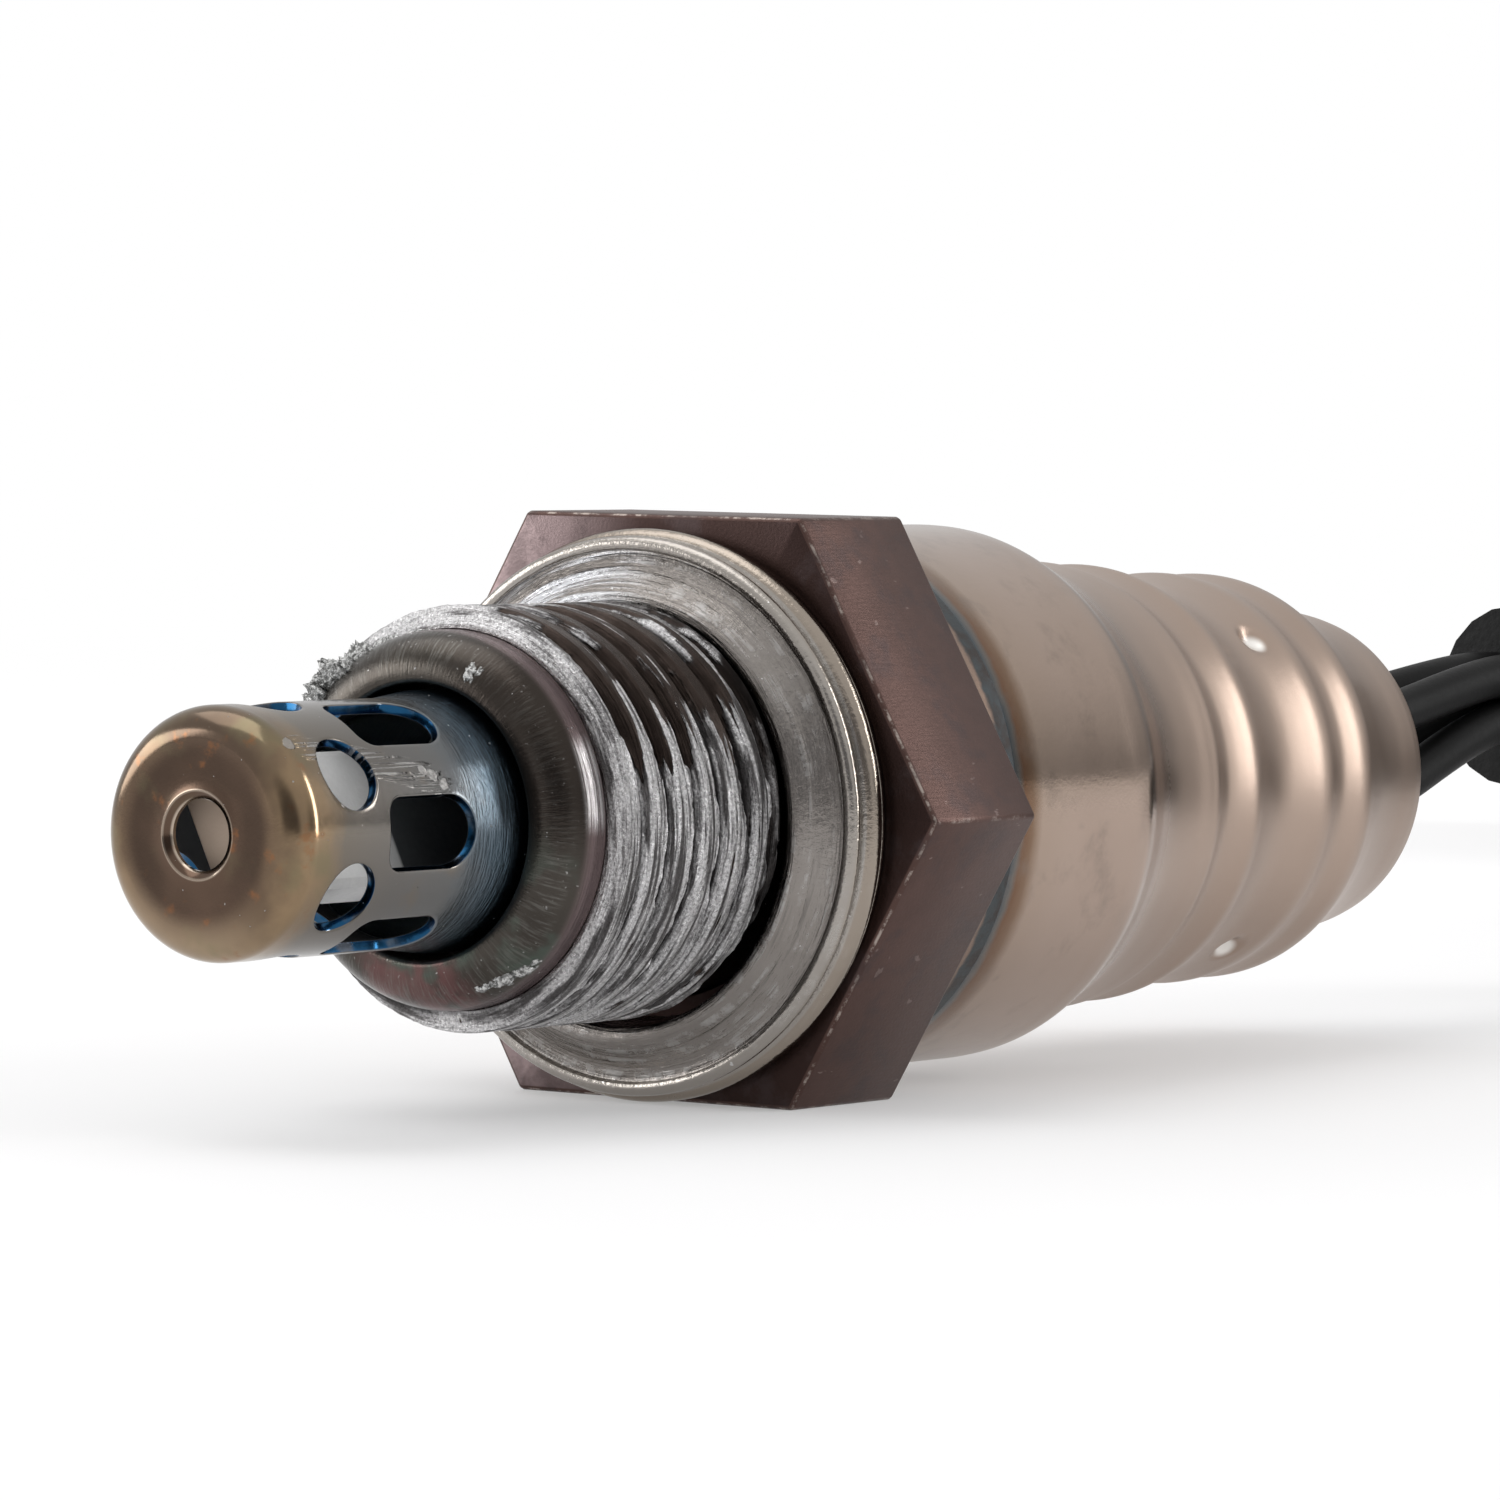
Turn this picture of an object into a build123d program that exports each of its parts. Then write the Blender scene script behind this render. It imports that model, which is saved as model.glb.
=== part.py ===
"""A four-wire planar oxygen sensor with an M12 thread, lying on one flat of its hexagon, in millimetres.

+X runs from the perforated tip to the cable end, +Z is up and z = 0 is the surface that the hexagon lies on.
The origin is below the middle of the sensor itself. Stations along the sensor are measured from the gasket
seat, the front face of the hexagon, and are negative towards the tip.
"""

from build123d import *
import os
from math import atan2, cos, degrees, pi, radians, sin, tan

# --- Driving dimensions ---------------------------------------------------------------------------------
HEX_ACROSS_FLATS = 17.0
HEX_LENGTH = 5.15
THREAD_RADIUS = 6.0
TIP_STATION = -20.9
REAR_STATION = 34.7

AXIS_Z = HEX_ACROSS_FLATS / 2
SEAT_X = -(TIP_STATION + REAR_STATION) / 2
HEX_CORNER_RADIUS = HEX_ACROSS_FLATS / 2 / cos(pi / 6)
SENSOR_AXIS = Axis((0, 0, AXIS_Z), (1, 0, 0))

# Protection tube
TUBE_RADIUS = 3.5
TUBE_WALL = 0.3
TUBE_CORNER = 0.9
TIP_HOLE_RADIUS = 0.98
TIP_HOLE_FLARE = 0.24
TUBE_REAR = -7.0
TUBE_FLANGE_RADIUS = 4.6
TUBE_ROOT_START = -12.9
TUBE_ROOT_END = -11.0
TUBE_ROOT_RADIUS = 3.68
ROUND_HOLE_RADIUS = 1.1
ROUND_HOLE_STATION = -18.2
SLOT_WIDTH = 2.06
SLOT_FRONT = -16.85
SLOT_REAR = -13.1
SLOT_FRONT_CORNER = 0.55
HOLES_AROUND = 6

# Shell
THROAT_RADIUS = 3.86
NOSE_FRONT = -11.35
NOSE_ROLL = 1.3
LIP_ROUND = 0.19
THREAD_START = -9.42
THREAD_END = -2.2
THREAD_CHAMFER = 0.2
UNDERCUT_RADIUS = 5.5
UNDERCUT_START = -1.9
SHELL_BORE_RADIUS = 4.8
COLLAR_RADIUS = 8.1
COLLAR_END = 6.6
SPIGOT_END = 8.2
CRIMP_SKIRT_RADIUS = 5.5
CRIMP_LIP_RADIUS = 4.1
CRIMP_LIP_START = 9.65
SHELL_REAR = 10.2
HEX_EDGE_BREAK = 0.25

# Gasket, one steel strip folded four times and rolled into a ring
GASKET_STRIP = 0.4
GASKET_SAG = 0.2
GASKET_FOLD_PITCH = 0.55
GASKET_INNER_RADIUS = 5.84
GASKET_REAR_FOLD_RADIUS = 8.1
GASKET_FRONT_FOLD_RADIUS = 7.9

# Sensing element and the ceramics that grip it
ELEMENT_TILT = 26.0
ELEMENT_WIDTH = 3.8
ELEMENT_THICKNESS = 1.3
ELEMENT_FRONT = -19.95
ELEMENT_REAR = 20.0
COATING = 0.12
COATING_END = -13.6
ELEMENT_CLEARANCE = 0.04
BUSH_RADIUS = 4.76
TALC_START = 1.6
TALC_END = 5.0
CRIMP_RING_START = 9.0

# Rear sleeve, drawn from one piece of tube: its outline as (station, radius)
SLEEVE_FRONT = COLLAR_END
SLEEVE_WALL = 0.5
SLEEVE_RADIUS = 8.1
SLEEVE_STRAIGHT_END = 13.2
SLEEVE_OUTLINE = [
    (SLEEVE_STRAIGHT_END, SLEEVE_RADIUS),
    (14.5, 7.86),
    (15.5, 7.48),
    (16.6, 7.18),
    (18.2, 6.97),
    (19.6, 6.88),
    (20.3, 6.70),
    (21.0, 6.71),
    (21.8, 6.76),
    (22.4, 6.66),
    (23.3, 6.42),
    (24.4, 6.32),
    (25.4, 6.38),
    (26.4, 6.47),
    (27.5, 6.33),
    (28.3, 6.35),
    (29.0, 6.38),
    (29.7, 6.18),
    (31.0, 5.69),
    (32.6, 5.31),
    (34.1, 5.08),
    (REAR_STATION, 4.72),
]
DIMPLE_STATION = 25.1
DIMPLE_ANGLES = (46.0, -54.0, 126.0, -134.0)
DIMPLE_RADIUS = 0.9
DIMPLE_DEPTH = 0.28

# Contacts, their ceramic holder and the rubber grommet
HOLDER_START = 11.0
HOLDER_END = 20.0
HOLDER_RADIUS = 4.9
HOLDER_GAP = 2.0
CLIP_START = 13.6
CLIP_END = 17.0
CLIP_THICKNESS = 0.35
CLIP_MOUTH = 3.0
CONTACT_WIDTH = 1.1
CONTACT_THICKNESS = 0.3
CONTACT_FRONT = 16.4
CONTACT_LIFT = 0.02
BARREL_START = 21.2
BARREL_END = 23.6
BARREL_RADIUS = 0.8
GROMMET_START = 24.4
GROMMET_REAR = 34.5

# Lead wires
WIRE_RADIUS = 0.7
CONDUCTOR_RADIUS = 0.4
WIRE_PITCH_GROMMET = 2.8
WIRE_PITCH_SLEEVE = 1.5
WIRE_START = 23.8
WIRE_BEND = 2.3

# Cable sleeve: the lead leaves the wires behind the sensor, comes down and is put away in a tied coil
CABLE_RADIUS = 3.0
TIE_THICKNESS = 0.4
TIE_WIDTH = 7.0
TIE_ANGLE = -60.0
CABLE_FLOOR_Z = CABLE_RADIUS + TIE_THICKNESS
CABLE_UPPER_Z = CABLE_FLOOR_Z + 2 * CABLE_RADIUS + 0.2
LEAD_POINTS = [
    (38.1, -2.1, 10.7),
    (49.0, -3.6, 10.7),
    (58.8, -8.4, 9.2),
    (66.8, -15.8, 6.2),
    (73.4, -24.4, CABLE_FLOOR_Z),
    (80.6, -32.6, CABLE_FLOOR_Z),
]
COIL_RADIUS = 31.0
COIL_STUB = 8.0
COIL_CLIMB_START = -240.0
COIL_CLIMB_END = -220.0
COIL_EXIT = 0.0
TAIL_LENGTH = 20.0

# Connector, 4-way, lying beside the coil with its open end towards -X
CONNECTOR_GAP = 7.5
CONNECTOR_WIDTH = 19.2
CONNECTOR_HEIGHT = 2 * CABLE_UPPER_Z
CONNECTOR_LENGTH = 31.0
CONNECTOR_WALL = 1.5
CONNECTOR_CORNER = 2.5
SHROUD_DEPTH = 15.0
SEAL_POCKET_DEPTH = 5.5
TERMINAL_PITCH = 5.0
TERMINAL_SIZE = 1.5
TERMINAL_BODY = 2.2
TERMINAL_REACH = 10.0
CAP_THICKNESS = 2.0
LOCK_THICKNESS = 2.5
LATCH_WIDTH = 6.0
LATCH_LENGTH = 6.0
LATCH_HEIGHT = 1.6
LATCH_SETBACK = 3.0
LATCH_CREST = 1.2
KEY_WIDTH = 1.2
KEY_HEIGHT = 0.8
KEY_LENGTH = 11.0
KEY_SETBACK = 1.0
KEY_SPREAD = 4.5
GRIP_RIBS = 4
GRIP_RIB_PITCH = 2.0
GRIP_RIB_LENGTH = 12.0
GRIP_RIB_WIDTH = 0.8
GRIP_RIB_HEIGHT = 0.4
GRIP_SETBACK = 2.5


# --- Helpers --------------------------------------------------------------------------------------------
def at(station):
    """The X of a station."""
    return SEAT_X + station


def section(*lines):
    """A closed face in the XZ plane through lines given as (station, radius)."""
    return Pos(SEAT_X, 0, AXIS_Z) * (Plane.XZ * make_face(Wire(list(lines))))


def poly_section(points):
    """A closed polygon of (station, radius) points, in the XZ plane."""
    return section(*Polyline(*points, close=True).edges())


def turned(points):
    """A body of revolution about the sensor's axis, from a closed polygon of (station, radius) points."""
    return revolve(poly_section(points), SENSOR_AXIS)


def around(angle, shape):
    """The shape turned about the sensor's axis: 0 degrees is the -Y side, 90 is the top."""
    return shape.rotate(SENSOR_AXIS, -angle)


def element_bar(start, end, width, thickness):
    """A bar along the sensor's axis with the element's tilt, from station to station."""
    bar = Pos(at((start + end) / 2), 0, AXIS_Z) * Box(end - start, thickness, width)
    return bar.rotate(SENSOR_AXIS, -ELEMENT_TILT)


def wire_corners(pitch):
    """The four (across, up) places of the wires on a square of that pitch."""
    return [(y * pitch / 2, z * pitch / 2) for y in (1, -1) for z in (1, -1)]


def rounded_tube(points, radii, radius):
    """A round rod along straight runs joined by tangent arcs."""
    path = FilletPolyline(*points, radius=radii)
    start = Plane(path @ 0, z_dir=path % 0)
    rod = sweep(start * Circle(radius), path=path)
    expected = pi * radius**2 * path.length
    print("rod of length", round(path.length, 1), "volume", round(rod.volume), "expected", round(expected))
    return rod


def arc_radii(points, most=100.0):
    """The tangent arc at each corner, with its tangents as long as its runs and most allow."""
    radii = []
    for before, corner, after in zip(points, points[1:], points[2:]):
        run_in = Vector(*corner) - Vector(*before)
        run_out = Vector(*after) - Vector(*corner)
        turn = run_in.get_angle(run_out)
        tangent = min(0.45 * run_in.length, 0.45 * run_out.length, most)
        radii.append(tangent / tan(radians(turn) / 2))
    print("arc radii", [round(r, 1) for r in radii])
    return radii


# --- Front: protection tube, shell, gasket ----------------------------------------------------------------
def make_protection_tube():
    outer, inner = TUBE_RADIUS, TUBE_RADIUS - TUBE_WALL
    corner = TIP_STATION + TUBE_CORNER
    flange = TUBE_REAR - TUBE_WALL
    centre_r = outer - TUBE_CORNER
    inner_corner = TUBE_CORNER - TUBE_WALL
    face_in = TIP_STATION + TUBE_WALL
    flare = TIP_HOLE_RADIUS + TIP_HOLE_FLARE
    half = sin(pi / 4)
    wall = section(
        Line((TIP_STATION, flare), (TIP_STATION, centre_r)),
        ThreePointArc(
            (TIP_STATION, centre_r),
            (corner - TUBE_CORNER * half, centre_r + TUBE_CORNER * half),
            (corner, outer),
        ),
        *Polyline(
            (corner, outer),
            (TUBE_ROOT_START, outer),
            (TUBE_ROOT_END, TUBE_ROOT_RADIUS),
            (flange, TUBE_ROOT_RADIUS),
            (flange, TUBE_FLANGE_RADIUS),
            (TUBE_REAR, TUBE_FLANGE_RADIUS),
            (TUBE_REAR, TUBE_ROOT_RADIUS - TUBE_WALL),
            (TUBE_ROOT_END, TUBE_ROOT_RADIUS - TUBE_WALL),
            (TUBE_ROOT_START, inner),
            (corner, inner),
        ).edges(),
        ThreePointArc(
            (corner, inner),
            (corner - inner_corner * half, centre_r + inner_corner * half),
            (face_in, centre_r),
        ),
        Line((face_in, centre_r), (face_in, TIP_HOLE_RADIUS)),
        ThreePointArc(
            (face_in, TIP_HOLE_RADIUS),
            (TIP_STATION + 0.3 * TUBE_WALL, TIP_HOLE_RADIUS + 0.3 * TIP_HOLE_FLARE),
            (TIP_STATION, flare),
        ),
    )
    tube = revolve(wall, SENSOR_AXIS)
    round_hole = Pos(at(ROUND_HOLE_STATION), -TUBE_RADIUS, AXIS_Z) * (
        Rot(90, 0, 0) * Cylinder(ROUND_HOLE_RADIUS, TUBE_RADIUS)
    )
    length = SLOT_REAR - SLOT_FRONT
    outline = Pos(length / 2, 0) * Rectangle(length, SLOT_WIDTH)
    front_corners = outline.vertices().sort_by(Axis.X)[:2]
    rear_corners = outline.vertices().sort_by(Axis.X)[2:]
    outline = fillet(front_corners, SLOT_FRONT_CORNER)
    rear_corners = outline.vertices().sort_by(Axis.X)[-2:]
    outline = fillet(rear_corners, SLOT_WIDTH / 2 - 0.01)
    slot = Pos(at(SLOT_FRONT), -TUBE_RADIUS / 2, AXIS_Z) * (Plane.XZ * extrude(outline, TUBE_RADIUS))
    step = 360 / HOLES_AROUND
    for i in range(HOLES_AROUND):
        tube -= around((i + 0.5) * step, round_hole)
        tube -= around(i * step, slot)
    return tube


def make_shell():
    nose_r = THROAT_RADIUS + LIP_ROUND
    roll = NOSE_FRONT + NOSE_ROLL
    crown = nose_r + NOSE_ROLL
    half = sin(pi / 4)
    flange_seat = TUBE_REAR - TUBE_WALL
    body = section(
        ThreePointArc(
            (NOSE_FRONT, nose_r),
            (roll - NOSE_ROLL * half, nose_r + NOSE_ROLL * half),
            (roll, crown),
        ),
        *Polyline(
            (roll, crown),
            (THREAD_START - THREAD_CHAMFER, crown),
            (THREAD_START, THREAD_RADIUS),
            (THREAD_END, THREAD_RADIUS),
            (UNDERCUT_START, UNDERCUT_RADIUS),
            (0, UNDERCUT_RADIUS),
            (0, COLLAR_RADIUS),
            (COLLAR_END, COLLAR_RADIUS),
            (COLLAR_END, SLEEVE_RADIUS - SLEEVE_WALL),
            (SPIGOT_END, SLEEVE_RADIUS - SLEEVE_WALL),
            (SPIGOT_END, CRIMP_SKIRT_RADIUS),
            (SHELL_REAR, CRIMP_SKIRT_RADIUS),
            (SHELL_REAR, CRIMP_LIP_RADIUS),
            (CRIMP_LIP_START, CRIMP_LIP_RADIUS),
            (CRIMP_LIP_START, SHELL_BORE_RADIUS),
            (flange_seat, SHELL_BORE_RADIUS),
            (flange_seat, THROAT_RADIUS),
            (NOSE_FRONT + LIP_ROUND, THROAT_RADIUS),
        ).edges(),
        ThreePointArc(
            (NOSE_FRONT + LIP_ROUND, THROAT_RADIUS),
            (NOSE_FRONT + LIP_ROUND * (1 - half), nose_r - LIP_ROUND * half),
            (NOSE_FRONT, nose_r),
        ),
    )
    # The hexagon's corners point to -Y and +Y, so that it lies on a flat.
    outline = RegularPolygon(HEX_CORNER_RADIUS, 6)
    hexagon = Pos(at(0), 0, AXIS_Z) * (Plane.YZ * extrude(outline, HEX_LENGTH))
    corner_break = turned(
        [
            (0, 0),
            (0, HEX_CORNER_RADIUS - HEX_EDGE_BREAK),
            (HEX_EDGE_BREAK * tan(radians(30)), HEX_CORNER_RADIUS + 0.01),
            (HEX_LENGTH - HEX_EDGE_BREAK * tan(radians(30)), HEX_CORNER_RADIUS + 0.01),
            (HEX_LENGTH, HEX_CORNER_RADIUS - HEX_EDGE_BREAK),
            (HEX_LENGTH, 0),
        ]
    )
    bore_end = HEX_LENGTH + 1
    bore = turned([(-1, 0), (-1, SHELL_BORE_RADIUS), (bore_end, SHELL_BORE_RADIUS), (bore_end, 0)])
    return revolve(body, SENSOR_AXIS) + ((hexagon & corner_break) - bore)


def make_gasket():
    layer = [-GASKET_STRIP / 2 - i * GASKET_FOLD_PITCH for i in range(4)]
    turn = GASKET_FOLD_PITCH / 2
    inner_fold = 6.62
    rear_fold = GASKET_REAR_FOLD_RADIUS - turn
    front_fold = GASKET_FRONT_FOLD_RADIUS - turn
    strip = Wire(
        [
            Line((layer[0], GASKET_INNER_RADIUS), (layer[0], rear_fold)),
            ThreePointArc((layer[0], rear_fold), (layer[0] - turn, rear_fold + turn), (layer[1], rear_fold)),
            Line((layer[1], rear_fold), (layer[1], inner_fold)),
            ThreePointArc((layer[1], inner_fold), (layer[1] - turn, inner_fold - turn), (layer[2], inner_fold)),
            Line((layer[2], inner_fold), (layer[2], front_fold)),
            ThreePointArc((layer[2], front_fold), (layer[2] - turn, front_fold + turn), (layer[3], front_fold)),
            # The front layer is dished between its outer fold and a raised inner ring.
            ThreePointArc((layer[3], front_fold), (layer[3] + 0.10, 7.1), (layer[3] - 0.06, 6.55)),
            ThreePointArc((layer[3] - 0.06, 6.55), (layer[3] - 0.12, 6.3), (layer[3] + 0.02, 6.05)),
        ]
    )
    outline = Pos(SEAT_X, 0, AXIS_Z) * (Plane.XZ * trace(strip, GASKET_STRIP))
    ring = revolve(outline, SENSOR_AXIS)
    return Pos(0, 0, -GASKET_SAG) * ring


# --- Inside the shell -------------------------------------------------------------------------------------
def make_sensing_element():
    body = element_bar(COATING_END, ELEMENT_REAR, ELEMENT_WIDTH, ELEMENT_THICKNESS)
    coated = element_bar(
        ELEMENT_FRONT, COATING_END, ELEMENT_WIDTH + 2 * COATING, ELEMENT_THICKNESS + 2 * COATING
    )
    coated = chamfer(coated.edges().filter_by(Axis.X), 0.22)
    coated = chamfer(coated.faces().sort_by(Axis.X)[0].edges(), 0.12)
    return coated + body


def element_slot(start, end):
    """The room that the element takes in the ceramics, from station to station."""
    width = ELEMENT_WIDTH + 2 * ELEMENT_CLEARANCE
    thickness = ELEMENT_THICKNESS + 2 * ELEMENT_CLEARANCE
    return element_bar(start - 1, end + 1, width, thickness)


def make_packing(start, end, outer=BUSH_RADIUS):
    """A solid ring in the shell's bore with the element passing through it."""
    ring = turned([(start, 0), (start, outer), (end, outer), (end, 0)])
    return ring - element_slot(start, end)


def make_crimp_ring():
    inner, outer = 3.3, BUSH_RADIUS
    return turned(
        [(CRIMP_RING_START, inner), (CRIMP_RING_START, outer), (CRIMP_LIP_START, outer), (CRIMP_LIP_START, inner)]
    )


# --- Rear sleeve and what it holds ------------------------------------------------------------------------
def sleeve_profile(depth):
    """The sleeve's outline as a solid of revolution, made smaller by depth all round."""
    curve = Spline(*[(s, r - depth) for s, r in SLEEVE_OUTLINE])
    front = (SLEEVE_FRONT, SLEEVE_RADIUS - depth)
    outline = section(
        *Polyline((REAR_STATION, SLEEVE_OUTLINE[-1][1] - depth), (REAR_STATION, 0), (SLEEVE_FRONT, 0)).edges(),
        *Polyline((SLEEVE_FRONT, 0), front, (SLEEVE_STRAIGHT_END, SLEEVE_RADIUS - depth)).edges(),
        curve,
    )
    return revolve(outline, SENSOR_AXIS)


def make_rear_sleeve():
    sleeve = sleeve_profile(0) - sleeve_profile(SLEEVE_WALL)
    ball_centre = 6.36 + DIMPLE_RADIUS - DIMPLE_DEPTH
    ball = Pos(at(DIMPLE_STATION), -ball_centre, AXIS_Z) * Sphere(DIMPLE_RADIUS)
    for angle in DIMPLE_ANGLES:
        sleeve -= around(angle, ball)
    return sleeve


def make_holder_half(side):
    """Half of the ceramic contact holder: side 1 is the upper half across the element, -1 the lower."""
    length = HOLDER_END - HOLDER_START
    middle = at((HOLDER_START + HOLDER_END) / 2)
    disc = Pos(middle, 0, AXIS_Z) * (Rot(0, 90, 0) * Cylinder(HOLDER_RADIUS, length))
    reach = HOLDER_RADIUS - HOLDER_GAP / 2 + 1
    keep = Pos(middle, -side * (HOLDER_GAP / 2 + reach / 2), AXIS_Z) * Box(length, reach, 4 * HOLDER_RADIUS)
    return disc & keep.rotate(SENSOR_AXIS, -ELEMENT_TILT)


def make_clip():
    """The spring clip round the two holder halves, open on one side."""
    inner = HOLDER_RADIUS + 0.02
    outer = inner + CLIP_THICKNESS
    ring = turned([(CLIP_START, inner), (CLIP_START, outer), (CLIP_END, outer), (CLIP_END, inner)])
    middle = at((CLIP_START + CLIP_END) / 2)
    mouth = Pos(middle, 0, AXIS_Z + outer) * Box(10, CLIP_MOUTH, 2 * CLIP_THICKNESS + 2)
    return ring - mouth.rotate(SENSOR_AXIS, -ELEMENT_TILT)


def make_contact(across, up):
    """One contact: a flat leaf on the element's pad, a rising neck and a round crimp barrel."""
    side = 1 if across > 0 else -1
    row = 1 if up > 0 else -1
    leaf_y = side * (ELEMENT_THICKNESS / 2 + CONTACT_LIFT + CONTACT_THICKNESS / 2)
    leaf_z = row * ELEMENT_WIDTH / 4
    leaf_end = ELEMENT_REAR + 0.4
    leaf = Pos(at((CONTACT_FRONT + leaf_end) / 2), leaf_y, AXIS_Z + leaf_z) * Box(
        leaf_end - CONTACT_FRONT, CONTACT_THICKNESS, CONTACT_WIDTH
    )
    leaf = leaf.rotate(SENSOR_AXIS, -ELEMENT_TILT)
    barrel_centre = (at((BARREL_START + BARREL_END) / 2), across, AXIS_Z + up)
    barrel = Pos(*barrel_centre) * (Rot(0, 90, 0) * Cylinder(BARREL_RADIUS, BARREL_END - BARREL_START))
    bore_place = Pos(at(BARREL_START + 1 + 5), across, AXIS_Z + up)
    bore = bore_place * (Rot(0, 90, 0) * Cylinder(CONDUCTOR_RADIUS, 10))
    # The neck joins the leaf's rear end to the barrel's front end.
    tilt = radians(ELEMENT_TILT)
    leaf_across = leaf_y * cos(tilt) + leaf_z * sin(tilt)
    leaf_up = leaf_z * cos(tilt) - leaf_y * sin(tilt)
    start = Vector(at(leaf_end - 0.3), leaf_across, AXIS_Z + leaf_up)
    end = Vector(at(BARREL_START + 0.4), across, AXIS_Z + up)
    neck = Plane(start, z_dir=end - start) * extrude(Circle(0.3), (end - start).length)
    return leaf + neck + (barrel - bore)


def make_grommet():
    room = sleeve_profile(SLEEVE_WALL)
    length = GROMMET_REAR - GROMMET_START
    slab = Pos(at((GROMMET_START + GROMMET_REAR) / 2), 0, AXIS_Z) * Box(length, 20, 20)
    grommet = room & slab
    for across, up in wire_corners(WIRE_PITCH_GROMMET):
        bore = Pos(at((GROMMET_START + GROMMET_REAR) / 2), across, AXIS_Z + up)
        grommet -= bore * (Rot(0, 90, 0) * Cylinder(WIRE_RADIUS, length + 1))
    return grommet


# --- Lead wires, cable, connector -------------------------------------------------------------------------
def lead_start():
    return Vector(*LEAD_POINTS[0])


def make_lead_wire(index):
    """One insulated wire: from its crimp barrel to the cable's mouth, and again at the cable's far end."""
    near = wire_corners(WIRE_PITCH_GROMMET)[index]
    far = wire_corners(WIRE_PITCH_SLEEVE)[index]
    heading = (Vector(*LEAD_POINTS[1]) - lead_start()).normalized()
    across = Vector(0, 0, 1).cross(heading)
    mouth = lead_start() + across * far[0] + Vector(0, 0, far[1])
    points = [
        (at(WIRE_START), near[0], AXIS_Z + near[1]),
        (at(GROMMET_REAR) + WIRE_BEND, near[0], AXIS_Z + near[1]),
        tuple(mouth - heading * WIRE_BEND),
        tuple(mouth),
    ]
    run = rounded_tube(points, arc_radii(points, WIRE_BEND - 0.1), WIRE_RADIUS)
    conductor_length = WIRE_START - BARREL_START - 1
    conductor = Pos(at(WIRE_START) - conductor_length / 2, near[0], AXIS_Z + near[1]) * (
        Rot(0, 90, 0) * Cylinder(CONDUCTOR_RADIUS, conductor_length)
    )
    seat = wire_corners(TERMINAL_PITCH)[index]
    tail_points = [
        (0, *far),
        (1.6, *far),
        (CONNECTOR_GAP - 1.6, *seat),
        (CONNECTOR_GAP + CAP_THICKNESS + SEAL_POCKET_DEPTH - 0.3, *seat),
    ]
    tail = plug_frame() * rounded_tube(tail_points, arc_radii(tail_points), WIRE_RADIUS)
    return Compound(children=[run + conductor, tail])


def make_cable_lead():
    return rounded_tube(LEAD_POINTS, arc_radii(LEAD_POINTS), CABLE_RADIUS)


def coil_entry():
    """The point, heading and turning centre where the cable joins its coil."""
    before, end = (Vector(*p) for p in LEAD_POINTS[-2:])
    heading = (end - before).normalized()
    point = end + heading * COIL_STUB
    centre = point + Vector(0, 0, 1).cross(heading) * COIL_RADIUS
    return point, heading, Vector(centre.X, centre.Y, 0)


def coil_angle(point):
    """How far round the coil a point is, from its +X side towards its +Y side, in degrees."""
    centre = coil_entry()[2]
    return degrees(atan2(point.Y - centre.Y, point.X - centre.X))


def coil_point(angle, z):
    centre = coil_entry()[2]
    return Vector(
        centre.X + COIL_RADIUS * cos(radians(angle)), centre.Y + COIL_RADIUS * sin(radians(angle)), z
    )


def coil_arc(face_z_low, face_z_high, start, stop):
    """The coil's section, a stadium from one height to another, swept from the angle start to stop."""
    centre = coil_entry()[2]
    if face_z_high > face_z_low:
        height = face_z_high - face_z_low
        outline = Pos(0, height / 2) * Rot(0, 0, 90) * SlotCenterToCenter(height, 2 * CABLE_RADIUS)
    else:
        outline = Circle(CABLE_RADIUS)
    face = Pos(centre.X + COIL_RADIUS, centre.Y, face_z_low) * (Plane.XZ * outline)
    spin = Axis((centre.X, centre.Y, 0), (0, 0, 1))
    return revolve(face.rotate(spin, start), spin, stop - start)


def make_cable_coil():
    """The run-in of the cable, a turn on the surface, and the start of a second turn on top of it."""
    point, heading, _ = coil_entry()
    entry = coil_angle(point)
    run_in = Plane(point - heading * COIL_STUB, z_dir=heading) * extrude(Circle(CABLE_RADIUS), COIL_STUB)
    floor_turn = coil_arc(CABLE_FLOOR_Z, CABLE_FLOOR_Z, entry, 360 + COIL_CLIMB_END)
    climb = coil_arc(CABLE_FLOOR_Z, CABLE_UPPER_Z, COIL_CLIMB_START, COIL_CLIMB_END)
    upper_turn = coil_arc(CABLE_UPPER_Z, CABLE_UPPER_Z, COIL_CLIMB_START, COIL_EXIT)
    stacked = coil_arc(CABLE_FLOOR_Z, CABLE_UPPER_Z, entry, COIL_EXIT)
    return floor_turn + climb + upper_turn + stacked + run_in


def make_coil_tie():
    """A flat band round the coil's two layers."""
    centre = coil_entry()[2]
    height = CABLE_UPPER_Z - CABLE_FLOOR_Z
    outer = Rot(0, 0, 90) * SlotCenterToCenter(height, 2 * (CABLE_RADIUS + TIE_THICKNESS))
    inner = Rot(0, 0, 90) * SlotCenterToCenter(height, 2 * CABLE_RADIUS)
    middle = (CABLE_FLOOR_Z + CABLE_UPPER_Z) / 2
    face = Pos(centre.X + COIL_RADIUS, centre.Y, middle) * (Plane.XZ * (outer - inner))
    spin = Axis((centre.X, centre.Y, 0), (0, 0, 1))
    span = degrees(TIE_WIDTH / COIL_RADIUS)
    return revolve(face.rotate(spin, TIE_ANGLE - span / 2), spin, span)


def coil_heading(angle):
    """The way the cable runs at an angle of the coil."""
    return Vector(-sin(radians(angle)), cos(radians(angle)), 0)


def tail_end():
    return coil_point(COIL_EXIT, CABLE_UPPER_Z) + coil_heading(COIL_EXIT) * TAIL_LENGTH


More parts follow.
